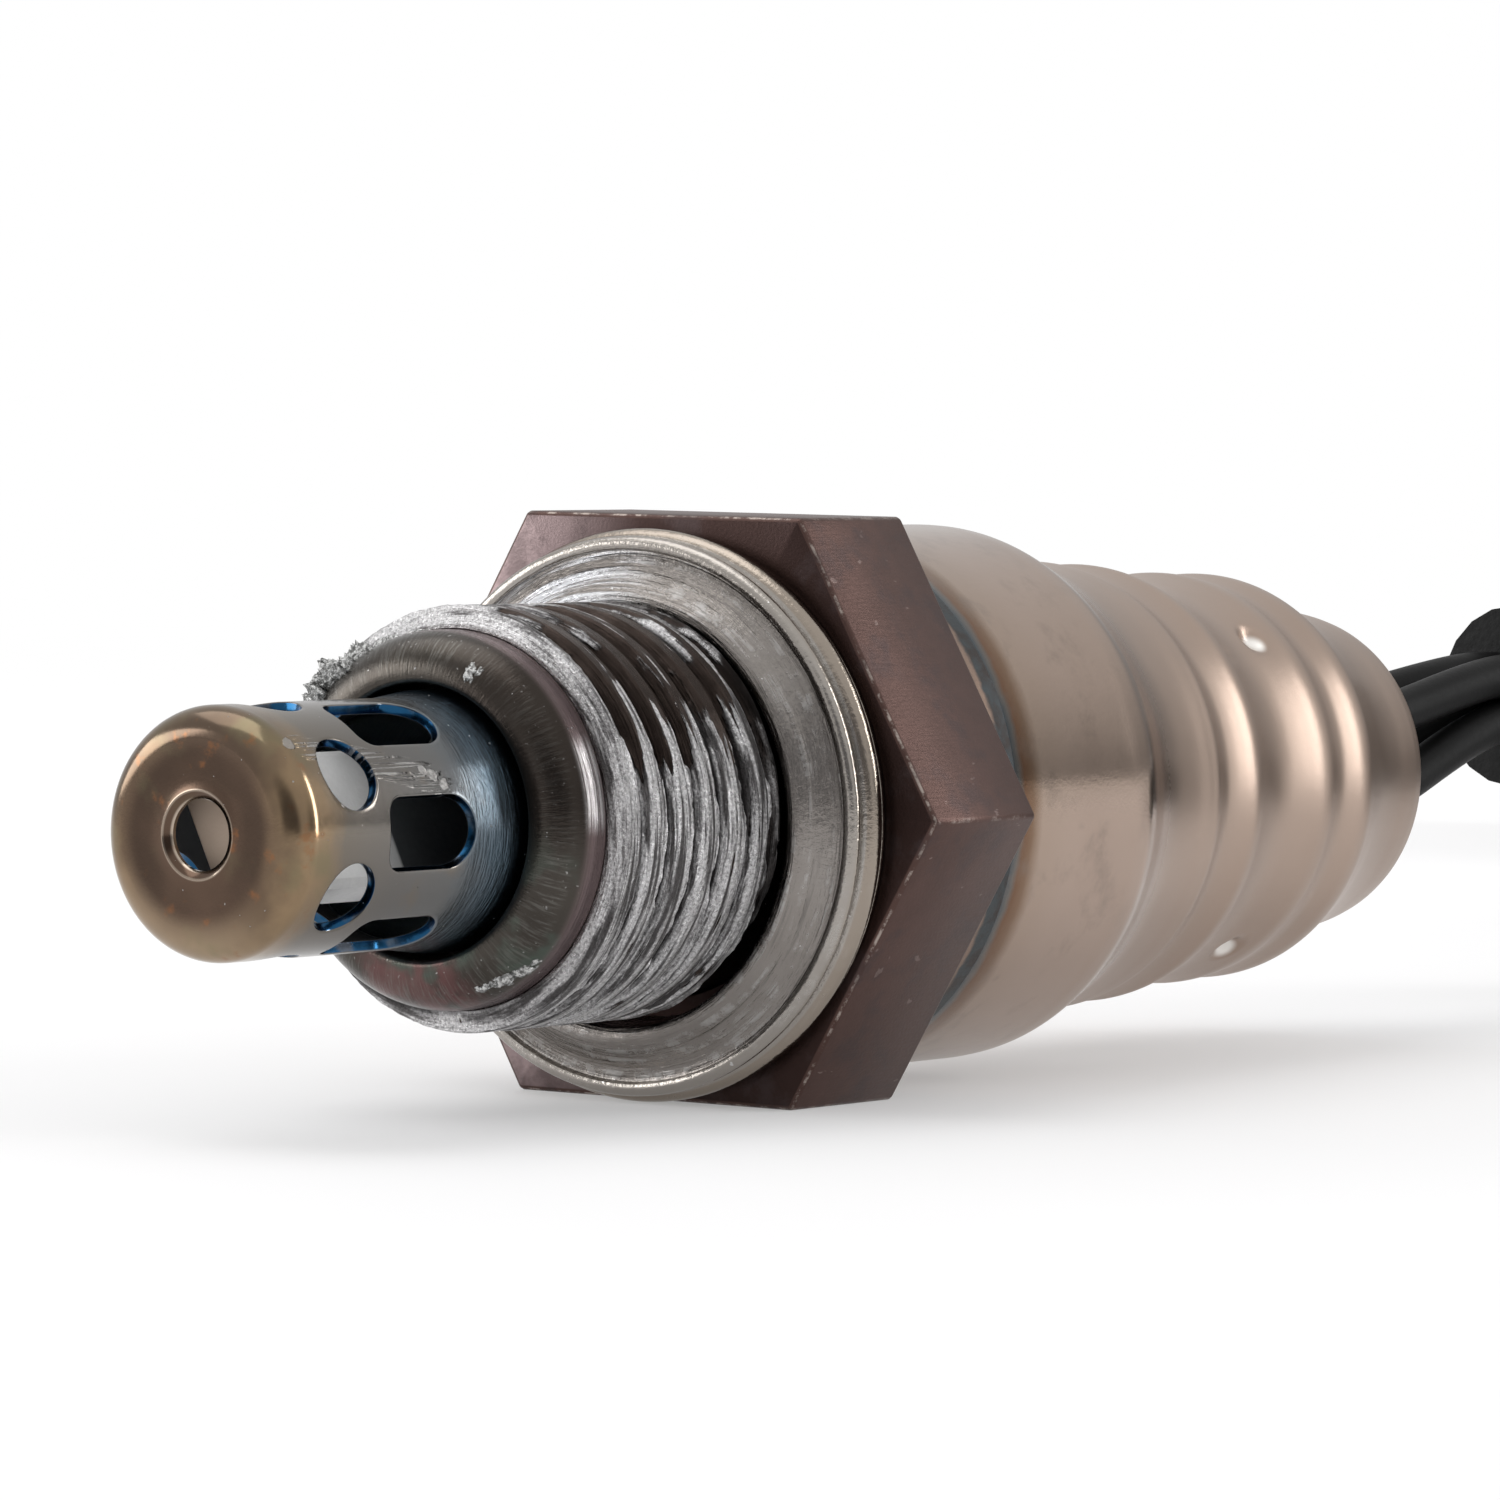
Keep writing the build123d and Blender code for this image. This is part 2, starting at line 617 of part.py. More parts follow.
def make_cable_tail():
    start = coil_point(COIL_EXIT, CABLE_UPPER_Z)
    return Plane(start, z_dir=coil_heading(COIL_EXIT)) * extrude(Circle(CABLE_RADIUS), TAIL_LENGTH)


def plug_frame():
    """The plug's own frame: from the cable's end, X runs along the plug to its mouth, and Z is up."""
    return Plane(tail_end(), x_dir=coil_heading(COIL_EXIT), z_dir=(0, 0, 1))


def connector_block(start, length, shrink):
    """A block with rounded long edges in the plug's frame; start is its distance from the rear face."""
    outline = RectangleRounded(
        CONNECTOR_WIDTH - 2 * shrink, CONNECTOR_HEIGHT - 2 * shrink, CONNECTOR_CORNER - 0.6 * shrink
    )
    return Pos(CONNECTOR_GAP + start, 0, 0) * extrude(Plane.YZ * outline, length)


def make_housing_shell():
    """The moulded block with its shroud, its seal pocket and the four terminal cavities between them."""
    housing = connector_block(CAP_THICKNESS, CONNECTOR_LENGTH - CAP_THICKNESS, 0)
    housing -= connector_block(CONNECTOR_LENGTH - SHROUD_DEPTH, SHROUD_DEPTH + 1, CONNECTOR_WALL)
    housing -= connector_block(CAP_THICKNESS - 1, SEAL_POCKET_DEPTH + 1, CONNECTOR_WALL)
    body = CONNECTOR_LENGTH - SHROUD_DEPTH
    for across, up in wire_corners(TERMINAL_PITCH):
        cavity = Box(body + 2, TERMINAL_BODY + 0.1, TERMINAL_BODY + 0.1)
        housing -= Pos(CONNECTOR_GAP + body / 2, across, up) * cavity
    return housing


def make_latch():
    """The ramp on top that the other half's lever snaps over."""
    front = CONNECTOR_GAP + CONNECTOR_LENGTH - LATCH_SETBACK
    step = front - LATCH_LENGTH
    foot = CONNECTOR_HEIGHT / 2
    outline = Polyline(
        (front, foot - 0.5),
        (front, foot + 0.1),
        (step + LATCH_CREST, foot + LATCH_HEIGHT),
        (step, foot + LATCH_HEIGHT),
        (step, foot - 0.5),
        close=True,
    )
    return Pos(0, LATCH_WIDTH / 2, 0) * extrude(Plane.XZ * make_face(outline), LATCH_WIDTH)


def side_bar(middle, side, up, length, height, proud):
    """A bar proud of one of the housing's long sides; middle is its distance from the rear face."""
    depth = proud + CONNECTOR_WALL / 2
    y = side * (CONNECTOR_WIDTH / 2 + proud - depth / 2)
    return Pos(CONNECTOR_GAP + middle, y, up) * Box(length, depth, height)


def make_connector_housing():
    housing = make_housing_shell() + make_latch()
    # Two keys on one side and one on the other, so that the plug goes in one way only.
    key_middle = CONNECTOR_LENGTH - KEY_SETBACK - KEY_LENGTH / 2
    for side, up in ((1, -KEY_SPREAD), (1, KEY_SPREAD), (-1, 0)):
        housing += side_bar(key_middle, side, up, KEY_LENGTH, KEY_WIDTH, KEY_HEIGHT)
    for side in (-1, 1):
        for i in range(GRIP_RIBS):
            middle = CAP_THICKNESS + GRIP_SETBACK + i * GRIP_RIB_PITCH
            housing += side_bar(middle, side, 0, GRIP_RIB_WIDTH, GRIP_RIB_LENGTH, GRIP_RIB_HEIGHT)
    return plug_frame() * housing


def make_wire_seal():
    seal = connector_block(CAP_THICKNESS, SEAL_POCKET_DEPTH, CONNECTOR_WALL)
    bore = Rot(0, 90, 0) * Cylinder(WIRE_RADIUS, SEAL_POCKET_DEPTH + 1)
    for across, up in wire_corners(TERMINAL_PITCH):
        seal -= Pos(CONNECTOR_GAP + CAP_THICKNESS + SEAL_POCKET_DEPTH / 2, across, up) * bore
    return plug_frame() * seal


def make_seal_cap():
    cap = connector_block(0, CAP_THICKNESS, 0)
    bore = Rot(0, 90, 0) * Cylinder(WIRE_RADIUS + 0.15, CAP_THICKNESS + 1)
    for across, up in wire_corners(TERMINAL_PITCH):
        cap -= Pos(CONNECTOR_GAP + CAP_THICKNESS / 2, across, up) * bore
    return plug_frame() * cap


def make_terminal(across, up):
    """One pin terminal: a square body in its cavity and a flat-sided pin in the shroud."""
    body_start = CAP_THICKNESS + SEAL_POCKET_DEPTH + 0.2
    body_end = CONNECTOR_LENGTH - SHROUD_DEPTH - 0.1
    body = Pos(CONNECTOR_GAP + (body_start + body_end) / 2, across, up) * Box(
        body_end - body_start, TERMINAL_BODY, TERMINAL_BODY
    )
    pin = Pos(CONNECTOR_GAP + body_end + TERMINAL_REACH / 2, across, up) * Box(
        TERMINAL_REACH, TERMINAL_SIZE, TERMINAL_SIZE / 2
    )
    return plug_frame() * (body + chamfer(pin.edges().group_by(Axis.X)[-1], 0.25))


def make_terminal_lock():
    """The secondary lock, a plate on the shroud's floor with the pins passing through it."""
    front = CONNECTOR_LENGTH - SHROUD_DEPTH
    plate = connector_block(front, LOCK_THICKNESS, CONNECTOR_WALL + 2.5)
    slot = Box(LOCK_THICKNESS + 1, TERMINAL_SIZE + 0.2, TERMINAL_SIZE / 2 + 0.2)
    for across, up in wire_corners(TERMINAL_PITCH):
        plate -= Pos(CONNECTOR_GAP + front + LOCK_THICKNESS / 2, across, up) * slot
    return plug_frame() * plate


# --- Write every piece ------------------------------------------------------------------------------------
pieces = {
    "protection_tube": make_protection_tube(),
    "sensor_shell": make_shell(),
    "crush_gasket": make_gasket(),
    "sensing_element": make_sensing_element(),
    "front_ceramic_bush": make_packing(TUBE_REAR, TALC_START),
    "talc_seal": make_packing(TALC_START, TALC_END),
    "rear_ceramic_bush": make_packing(TALC_END, CRIMP_RING_START),
    "crimp_ring": make_crimp_ring(),
    "rear_sleeve": make_rear_sleeve(),
    "contact_holder_upper": make_holder_half(1),
    "contact_holder_lower": make_holder_half(-1),
    "holder_clip": make_clip(),
    "grommet": make_grommet(),
    "cable_lead": make_cable_lead(),
    "cable_coil": make_cable_coil(),
    "cable_tail": make_cable_tail(),
    "coil_tie": make_coil_tie(),
    "connector_housing": make_connector_housing(),
    "connector_wire_seal": make_wire_seal(),
    "connector_seal_cap": make_seal_cap(),
    "connector_terminal_lock": make_terminal_lock(),
}
for number, (place, pin_place) in enumerate(
    zip(wire_corners(WIRE_PITCH_GROMMET), wire_corners(TERMINAL_PITCH)), start=1
):
    pieces[f"contact_{number}"] = make_contact(*place)
    pieces[f"lead_wire_{number}"] = make_lead_wire(number - 1)
    pieces[f"connector_terminal_{number}"] = make_terminal(*pin_place)

os.makedirs("parts", exist_ok=True)
for name, shape in pieces.items():
    export_step(shape, f"parts/{name}.step")
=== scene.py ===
"""A used oxygen sensor lying on one flat of its hexagon, with its cable put away beside it.

Stations are millimetres along the sensor from the front face of its hexagon, negative towards the tip. Angles
are degrees round its axis: 0 is the -Y side, 90 is the top.
"""

from math import atan2, ceil, cos, degrees, hypot, pi, radians, sin

import bmesh
import bpy
import numpy as np
from mathutils import Matrix, Quaternion, Vector, noise


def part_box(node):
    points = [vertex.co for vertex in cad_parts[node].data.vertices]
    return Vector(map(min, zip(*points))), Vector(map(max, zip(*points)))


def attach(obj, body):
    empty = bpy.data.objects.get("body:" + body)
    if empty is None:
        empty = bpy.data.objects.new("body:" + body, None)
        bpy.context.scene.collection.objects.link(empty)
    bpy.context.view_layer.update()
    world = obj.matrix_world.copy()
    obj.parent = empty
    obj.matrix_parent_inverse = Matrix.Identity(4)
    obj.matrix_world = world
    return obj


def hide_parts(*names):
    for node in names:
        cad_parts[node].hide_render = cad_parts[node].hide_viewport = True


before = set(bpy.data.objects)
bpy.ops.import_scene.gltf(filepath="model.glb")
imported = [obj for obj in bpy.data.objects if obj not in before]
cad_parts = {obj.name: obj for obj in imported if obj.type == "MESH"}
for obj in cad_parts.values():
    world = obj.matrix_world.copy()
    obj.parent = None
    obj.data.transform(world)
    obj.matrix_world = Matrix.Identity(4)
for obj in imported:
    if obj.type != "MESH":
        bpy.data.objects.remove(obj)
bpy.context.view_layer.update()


# ----------------
# Protection tube: a cup drawn from heat-resistant steel sheet, punched with six round holes, six slots and
# one hole in its end. The exhaust has tinted it bronze at the tip, grey in the middle and blue at the root.
# ----------------
MM = 0.001
AXIS_Z = 8.5
SHELL_FRONT = -11.35
SEAT_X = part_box("sensor_shell")[0].x / MM - SHELL_FRONT

TUBE_TIP = -20.9
TUBE_RADIUS = 3.5
TUBE_INNER_RADIUS = 3.2
TUBE_CORNER = 0.9
TUBE_ROOT_END = -11.0
TUBE_ROOT_RADIUS = 3.68
TUBE_REAR = -7.3
TIP_HOLE_RADIUS = 0.98
TIP_DISH = [(0.02, 2.1), (0.03, 1.6), (0.02, 1.34), (0.0, 1.22), (0.09, 1.05), (0.19, TIP_HOLE_RADIUS)]
ROUND_HOLE_RADIUS = 1.1
ROUND_HOLE_STATION = -18.2
SLOT_FRONT = -16.85
SLOT_REAR = -13.1
SLOT_HALF_WIDTH = 1.03
SLOT_FRONT_CORNER = 0.55
HOLE_ROWS = (-19.96, -16.975, -12.9)
HOLES_AROUND = 6
PUNCHED_EDGE = 0.05
COLUMN_STEP = 2.5
ROW_STEP = 0.16
TUBE_BLOTS = [(-20.0, 46.5, 0.24), (-14.25, 22.0, 0.18), (-14.6, 26.0, 0.20), (-15.0, 29.0, 0.15)]
ROOT_FLARE = [(0.0, 0.0), (0.15, 0.04), (0.35, 0.28), (0.65, 0.66), (0.85, 0.92), (1.0, 1.0)]
TUBE_TINT = [
    (0.00, 0.150, 0.105, 0.070), (0.06, 0.270, 0.190, 0.115), (0.12, 0.240, 0.175, 0.112),
    (0.20, 0.165, 0.145, 0.122), (0.45, 0.155, 0.146, 0.137), (0.66, 0.155, 0.155, 0.153),
    (0.78, 0.125, 0.150, 0.172), (0.90, 0.085, 0.125, 0.160), (1.00, 0.060, 0.090, 0.120),
]


def point(station, radius, angle):
    """A place on the sensor, in metres."""
    turn = radians(angle)
    return ((SEAT_X + station) * MM, -radius * cos(turn) * MM, (AXIS_Z + radius * sin(turn)) * MM)


class Mesh:
    """Grids of points that are joined into one mesh."""

    def __init__(self):
        self.points = []
        self.faces = []

    def grid(self, rows):
        """Quads between closed rows of points that all have one length."""
        first = len(self.points)
        width = len(rows[0])
        for row in rows:
            self.points.extend(row)
        for r in range(len(rows) - 1):
            for c in range(width):
                a = first + r * width + c
                b = first + r * width + (c + 1) % width
                self.faces.append((a, b, b + width, a + width))

    def turned(self, outline, step=COLUMN_STEP):
        """A surface of revolution about the sensor's axis, from (station, radius) points."""
        angles = np.arange(0, 360, step)
        self.grid([[point(station, radius, a) for a in angles] for station, radius in outline])

    def piece(self, name, material, nodes, slot, sharp=32):
        """The finished object, which stands for those nodes of the frame."""
        mesh = bpy.data.meshes.new(name)
        mesh.from_pydata(self.points, [], self.faces)
        work = bmesh.new()
        work.from_mesh(mesh)
        bmesh.ops.remove_doubles(work, verts=work.verts, dist=0.002 * MM)
        bmesh.ops.recalc_face_normals(work, faces=work.faces)
        work.to_mesh(mesh)
        work.free()
        mesh.shade_smooth()
        mesh.set_sharp_from_angle(angle=radians(sharp))
        return dress(new_object(name, mesh), material, nodes)


def new_object(name, data):
    made = bpy.data.objects.new(name, data)
    bpy.context.scene.collection.objects.link(made)
    return made


def dress(piece, material, nodes):
    """Gives a new piece its material and hides the nodes that it stands for, if any."""
    piece.data.materials.append(material)
    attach(piece, "root")
    if nodes:
        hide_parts(*nodes)
    return piece


def operators(operation):
    """A Python operator and its reflected form, which both add a Math node."""

    def forward(self, other):
        return self.math(operation, other)

    def reflected(self, other):
        return self.node("Math", {"operation": operation}, {0: other, 1: self})

    return forward, reflected


def settle(socket, value):
    """Sets what a socket is when nothing is linked to it; colours are (red, green, blue)."""
    socket.default_value = (*value, 1.0) if socket.type == "RGBA" else value


def set_stops(elements, stops):
    """Gives a new ramp its stops, each (position, red, green, blue)."""
    for stop in stops[1:-1]:
        elements.new(stop[0])
    for element, (position, *colour) in zip(elements, stops):
        element.position, element.color = position, (*colour, 1.0)


class Shade:
    """One socket of a shader: Python's operators add Math nodes to it, and node() adds any other node."""

    __add__, __radd__ = operators("ADD")
    __sub__, __rsub__ = operators("SUBTRACT")
    __mul__, __rmul__ = operators("MULTIPLY")
    __pow__, __rpow__ = operators("POWER")

    def __init__(self, socket):
        self.socket = socket

    def node(self, kind, settings, inputs, output=0):
        """A new node's output: its settings, or a ramp's stops, are set first, then its sockets."""
        tree = self.socket.id_data
        made = tree.nodes.new("ShaderNode" + kind)
        for name, value in settings.items():
            if name == "stops":
                set_stops(made.color_ramp.elements, value)
            else:
                setattr(made, name, value)
        for name, value in inputs.items():
            if isinstance(value, Shade):
                tree.links.new(value.socket, made.inputs[name])
            else:
                settle(made.inputs[name], value)
        return Shade(made.outputs[output])

    def math(self, operation, other=0.0):
        return self.node("Math", {"operation": operation}, {0: self, 1: other})

    def vector(self, operation, other=(0.0, 0.0, 0.0), output=0):
        return self.node("VectorMath", {"operation": operation}, {0: self, 1: other}, output)

    def split(self):
        """The vector's three parts."""
        parts = self.node("SeparateXYZ", {}, {0: self}).socket.node
        return [Shade(part) for part in parts.outputs]

    def joined(self, second, third):
        """A vector of this and two more."""
        return self.node("CombineXYZ", {}, {0: self, 1: second, 2: third})

    def rises(self, low, high):
        """0 below low, 1 above high, and smooth between them."""
        return self.node("MapRange", {"interpolation_type": "SMOOTHSTEP"}, {0: self, 1: low, 2: high})

    def within(self, low, high, soft):
        """1 between low and high, with soft edges."""
        return self.rises(low - soft, low + soft) * (1 - self.rises(high - soft, high + soft))

    def blend(self, low, high):
        """The colour low where this is 0 and high where it is 1."""
        return self.node("Mix", {"data_type": "RGBA"}, {0: self, 6: low, 7: high}, 2)

    def ramp(self, stops):
        """The colour between stops, each (position, red, green, blue)."""
        return self.node("ValToRGB", {"stops": stops}, {0: self})

    def noise(self, scale, detail, roughness=0.55):
        """Noise in a place, with scale in marks per millimetre."""
        sockets = {"Vector": self, "Scale": scale, "Detail": detail, "Roughness": roughness}
        return self.node("TexNoise", {}, sockets)

    def stretched(self, x, y, z):
        return self.vector("MULTIPLY", (x, y, z))


def grey(level):
    return (level, level, level)


def coated(base, *coats):
    """A base colour under coats: each has a mask, the share of it that covers, and a colour."""
    for mask, share, colour in coats:
        base = (mask * share).blend(base, colour)
    return base


def new_finish(name, **constants):
    """A material, the place on the object in millimetres, and the function that feeds its surface."""
    material = bpy.data.materials.new(name)
    material.use_nodes = True
    tree = material.node_tree
    surface = tree.nodes["Principled BSDF"]
    for socket, value in constants.items():
        settle(surface.inputs[socket.replace("_", " ")], value)
    place = Shade(surface.outputs[0]).node("TexCoord", {}, {}, "Object").stretched(1 / MM, 1 / MM, 1 / MM)

    def feed(colour, rough, height):
        """Links the colour, the roughness and the relief, which is a height in millimetres."""
        bump = height.node("Bump", {}, {"Strength": 1.0, "Distance": MM, "Height": height})
        for name, value in {"Base Color": colour, "Roughness": rough, "Normal": bump}.items():
            tree.links.new(value.socket, surface.inputs[name])

    return material, place, feed


def round_axis(place):
    """A place's station, angle and radius, and a vector of them with the angle in radians."""
    x, y, z = place.split()
    up = z - AXIS_Z
    station = x - SEAT_X
    turn = up.math("ARCTAN2", 0 - y)
    radius = (y * y + up * up) ** 0.5
    return station, turn * (180 / pi), radius, station.joined(turn, radius)


def arc(station, radius, reach, start, end, count):
    """Points on an arc about (station, radius); its angles are from the +station direction to the outside."""
    turns = np.radians(np.linspace(start, end, count))
    return [(station + reach * cos(t), radius + reach * sin(t)) for t in turns]


def round_hole(angles):
    """The round hole's reach from its middle in each direction."""
    return np.full(len(angles), ROUND_HOLE_RADIUS)


def slot_hole(angles):
    """The slot's reach from its middle in each direction: square at the front, with a round rear end."""
    middle = (SLOT_FRONT + SLOT_REAR) / 2
    front = SLOT_FRONT - middle
    rear = SLOT_REAR - middle
    corner = SLOT_FRONT_CORNER
    half = SLOT_HALF_WIDTH
    outline = arc(rear - half, 0, half, -90, 90, 60)
    outline += arc(front + corner, half - corner, corner, 90, 180, 20)
    outline += arc(front + corner, corner - half, corner, 180, 270, 20)
    outline = np.array(outline + outline[:1])
    dense = np.vstack([np.linspace(a, b, 20, endpoint=False) for a, b in zip(outline, outline[1:])])
    direction = np.arctan2(dense[:, 1], dense[:, 0])
    order = np.argsort(direction)
    return np.interp(angles, direction[order], np.hypot(dense[:, 0], dense[:, 1])[order], period=2 * pi)


def punched_cell(mesh, low, high, middle, centre_angle, hole):
    """One sixth of the tube between two stations, outside and inside, with a punched hole in it."""
    half_turn = 180 / HOLES_AROUND
    across = int(2 * half_turn / COLUMN_STEP)
    along = max(6, int((high - low) / ROW_STEP))
    sides = np.linspace(-half_turn, half_turn, across, endpoint=False)
    runs = np.linspace(low, high, along, endpoint=False)
    edge = [(low, s) for s in sides]
    edge += [(t, half_turn) for t in runs]
    edge += [(high, -s) for s in sides]
    edge += [(high + low - t, -half_turn) for t in runs]
    edge = np.array(edge)
    flat = np.column_stack([edge[:, 0] - middle, np.radians(edge[:, 1]) * TUBE_RADIUS])
    direction = np.arctan2(flat[:, 1], flat[:, 0])
    reach = hole(direction)
    far = np.hypot(flat[:, 0], flat[:, 1])

    def ring(distance, radius):
        return [
            point(middle + d * cos(a), radius, centre_angle + degrees(d * sin(a) / TUBE_RADIUS))
            for a, d in zip(direction, distance)
        ]

    rim = reach + PUNCHED_EDGE
    spread = [1.0, 0.72, 0.46, 0.25, 0.1, 0.0]
    rows = [ring(rim + (far - rim) * s, TUBE_RADIUS) for s in spread]
    rows.append(ring(reach + 0.3 * PUNCHED_EDGE, TUBE_RADIUS - 0.3 * PUNCHED_EDGE))
    rows.append(ring(reach, TUBE_RADIUS - PUNCHED_EDGE))
    rows.append(ring(reach, TUBE_INNER_RADIUS))
    rows += [ring(reach + (far - reach) * s, TUBE_INNER_RADIUS) for s in reversed(spread[:-1])]
    mesh.grid(rows)


def tube_mesh():
    """The tube: its dished end, two rows of punched cells and its flared root, each outside and inside."""
    mesh = Mesh()
    corner = TUBE_TIP + TUBE_CORNER
    centre_r = TUBE_RADIUS - TUBE_CORNER
    wall = TUBE_RADIUS - TUBE_INNER_RADIUS
    outside = [(HOLE_ROWS[0], TUBE_RADIUS)]
    outside += arc(corner, centre_r, TUBE_CORNER, 90, 180, 14)
    outside += [(TUBE_TIP + depth, radius) for depth, radius in TIP_DISH]
    outside += [(TUBE_TIP + wall, TIP_HOLE_RADIUS)]
    outside += arc(corner, centre_r, TUBE_CORNER - wall, 180, 90, 8)
    outside += [(HOLE_ROWS[0], TUBE_INNER_RADIUS)]
    mesh.turned(outside)
    slot_middle = (SLOT_FRONT + SLOT_REAR) / 2
    for i in range(HOLES_AROUND):
        turn = i * 360 / HOLES_AROUND
        between = turn + 180 / HOLES_AROUND
        punched_cell(mesh, HOLE_ROWS[0], HOLE_ROWS[1], ROUND_HOLE_STATION, between, round_hole)
        punched_cell(mesh, HOLE_ROWS[1], HOLE_ROWS[2], slot_middle, turn, slot_hole)
    length = TUBE_ROOT_END - HOLE_ROWS[2]
    rise = TUBE_ROOT_RADIUS - TUBE_RADIUS
    root = [(HOLE_ROWS[2] + length * along, TUBE_RADIUS + rise * out) for along, out in ROOT_FLARE]
    root.append((TUBE_REAR, TUBE_ROOT_RADIUS))
    mesh.turned(root)
    mesh.turned([(station, radius - wall) for station, radius in root])
    return mesh


def away_from(place, station, radius, angle):
    """The distance to a point of the sensor, in millimetres."""
    return place.vector("DISTANCE", tuple(c / MM for c in point(station, radius, angle)), 1)


def blot(place, station, radius, angle, size):
    """1 in a ragged round patch of the surface about a point, and 0 outside it."""
    ragged = away_from(place, station, radius, angle) + (place.noise(2.4, 3.0) - 0.5) * (1.8 * size)
    return 1 - ragged.rises(0.85 * size, size)


def tube_finish():
    """Steel tinted bronze, grey, then blue; near black inside, blue on its cut edges, and smeared with paste.
    """
    material, place, feed = new_finish("tinted_tube_steel", Metallic=1.0)
    station, angle, radius, unrolled = round_axis(place)
    cloud = place.noise(0.5, 4.0)
    tinted = station + (cloud - 0.5) * 2.0
    along = tinted.node("MapRange", {}, {0: tinted, 1: -21.0, 2: -10.5})
    rim = 1 - station.rises(-20.0, -19.2)
    # The rim is painted darker on top as shade, and lighter brown underneath.
    side = coated(
        along.ramp(TUBE_TINT),
        (rim * angle.within(45, 135, 25), 0.55, (0.10, 0.075, 0.060)),
        (rim * angle.within(-150, -60, 25), 0.5, (0.42, 0.32, 0.22)),
    )
    on_face = 1 - radius.rises(2.1, 3.1)
    ring = radius.within(1.5, 2.5, 0.3) * place.noise(0.35, 2.0).rises(0.30, 0.62)
    face = (ring * 0.8).blend((0.105, 0.069, 0.050), (0.058, 0.040, 0.030))
    # Painted highlight: a thin bright ring round the outer edge of the end hole's flare, and a bright lip at
    # the hole.
    flared = radius.within(TIP_HOLE_RADIUS + 0.20, TIP_HOLE_RADIUS + 0.27, 0.02) * 0.6
    bright = 1 - radius.rises(TIP_HOLE_RADIUS + 0.02, TIP_HOLE_RADIUS + 0.06)
    hole_rim_highlight = flared.math("MAXIMUM", bright) * on_face
    oil = place.noise(0.6, 3.0).rises(0.47, 0.66) * tinted.within(-20.8, -19.5, 0.25)
    rusty = place.noise(1.3, 5.0).rises(0.60, 0.72) * (1 - tinted.rises(-20.2, -18.6))
    stain = place.noise(0.8, 4.0).rises(0.55, 0.72) * tinted.within(-17.5, -12.6, 0.6)

    # Inside, near black and matt; the punched edges are blue.
    inner = (1 - radius.rises(3.21, 3.24)) * (1 - on_face) * station.rises(-20.2, -19.9)
    punched = radius.within(3.22, 3.47, 0.008) * station.rises(-20.0, -19.8)
    punched = punched * (1 - station.rises(-13.0, -12.9))
    edge = punched * (1 - place.noise(1.2, 2.0).rises(0.52, 0.66) * 0.55)

    # Paste smeared along the side in thin lines between two blobs, and specks of it.
    drift = angle + (station + 20.0) * 4.0
    lines = unrolled.stretched(0.25, 34.0, 2.0).noise(1.0, 2.0).rises(0.50, 0.58)
    torn = place.noise(1.4, 3.0).rises(0.40, 0.48)
    smear = lines * torn * drift.within(39, 53, 1.5) * station.within(-19.6, -14.1, 0.3)
    paste = smear.math("MAXIMUM", place.noise(5.5, 2.0).rises(0.745, 0.765))
    for station_at, angle_at, size in TUBE_BLOTS:
        paste = paste.math("MAXIMUM", blot(place, station_at, TUBE_RADIUS, angle_at, size) * 0.8)
    paste = paste * (1 - inner)
    colour = coated(
        on_face.blend(side, face),
        (hole_rim_highlight, 0.8, (0.50, 0.42, 0.34)),
        (oil, 0.45, (0.165, 0.155, 0.090)),
        (rusty, 0.55, (0.26, 0.11, 0.045)),
        (stain, 0.35, (0.20, 0.15, 0.10)),
        (inner, 1.0, (0.050, 0.050, 0.052)),
        (edge, 1.0, (0.014, 0.070, 0.150)),
        (paste, 0.75, (0.36, 0.35, 0.34)),
    )
    grain = unrolled.stretched(13.0, 5.0, 1.0).noise(1.0, 4.0)
    fine = place.noise(9.0, 4.0)
    rooted = tinted.rises(-14.0, -12.4)
    rough = 0.10 + fine * 0.08 + cloud * 0.06 + paste * 0.18 + rooted * 0.08 + inner * 0.4
    height = fine * 0.0012 + grain * 0.022 * rooted + paste * (0.03 + fine * 0.05)
    feed(colour, rough, height)
    return material


tube_mesh().piece("tube", tube_finish(), ["protection_tube"], "tube_steel")


# ----------------
# Sensing element: a laminated zirconia bar. A white porous layer covers its tip, dark grey contact tracks and
# insulation show behind it.
# ----------------
COATING_END = -13.6


def element_finish():
    """Dark ceramic with a white porous coating, which is beige at its tip and painted greyer towards its rear
    as shade.
    """
    material, place, feed = new_finish("element_ceramic")
    station = round_axis(place)[0]
    porous = 1 - station.rises(COATING_END - 0.15, COATING_END + 0.05)
    grain = place.noise(6.0, 4.0)
    body = grain.blend((0.035, 0.04, 0.043), (0.075, 0.08, 0.085))
    # The coating is beige at its tip and painted greyer towards its rear as shade.
    white = coated(
        grain.blend((0.80, 0.80, 0.79), (0.93, 0.93, 0.92)),
        (1 - station.rises(-19.6, -18.9), 1.0, (0.42, 0.33, 0.26)),
        (station.rises(-15.2, -13.4), 0.5, (0.3, 0.3, 0.3)),
    )
    feed(porous.blend(body, white), 0.5 + porous * 0.25, grain * 0.02 * porous)
    return material


def refinish(material, *nodes):
    """Gives pieces of the frame their material."""
    for node in nodes:
        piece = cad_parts[node]
        piece.data.materials.clear()
        piece.data.materials.append(material)


refinish(element_finish(), "sensing_element")


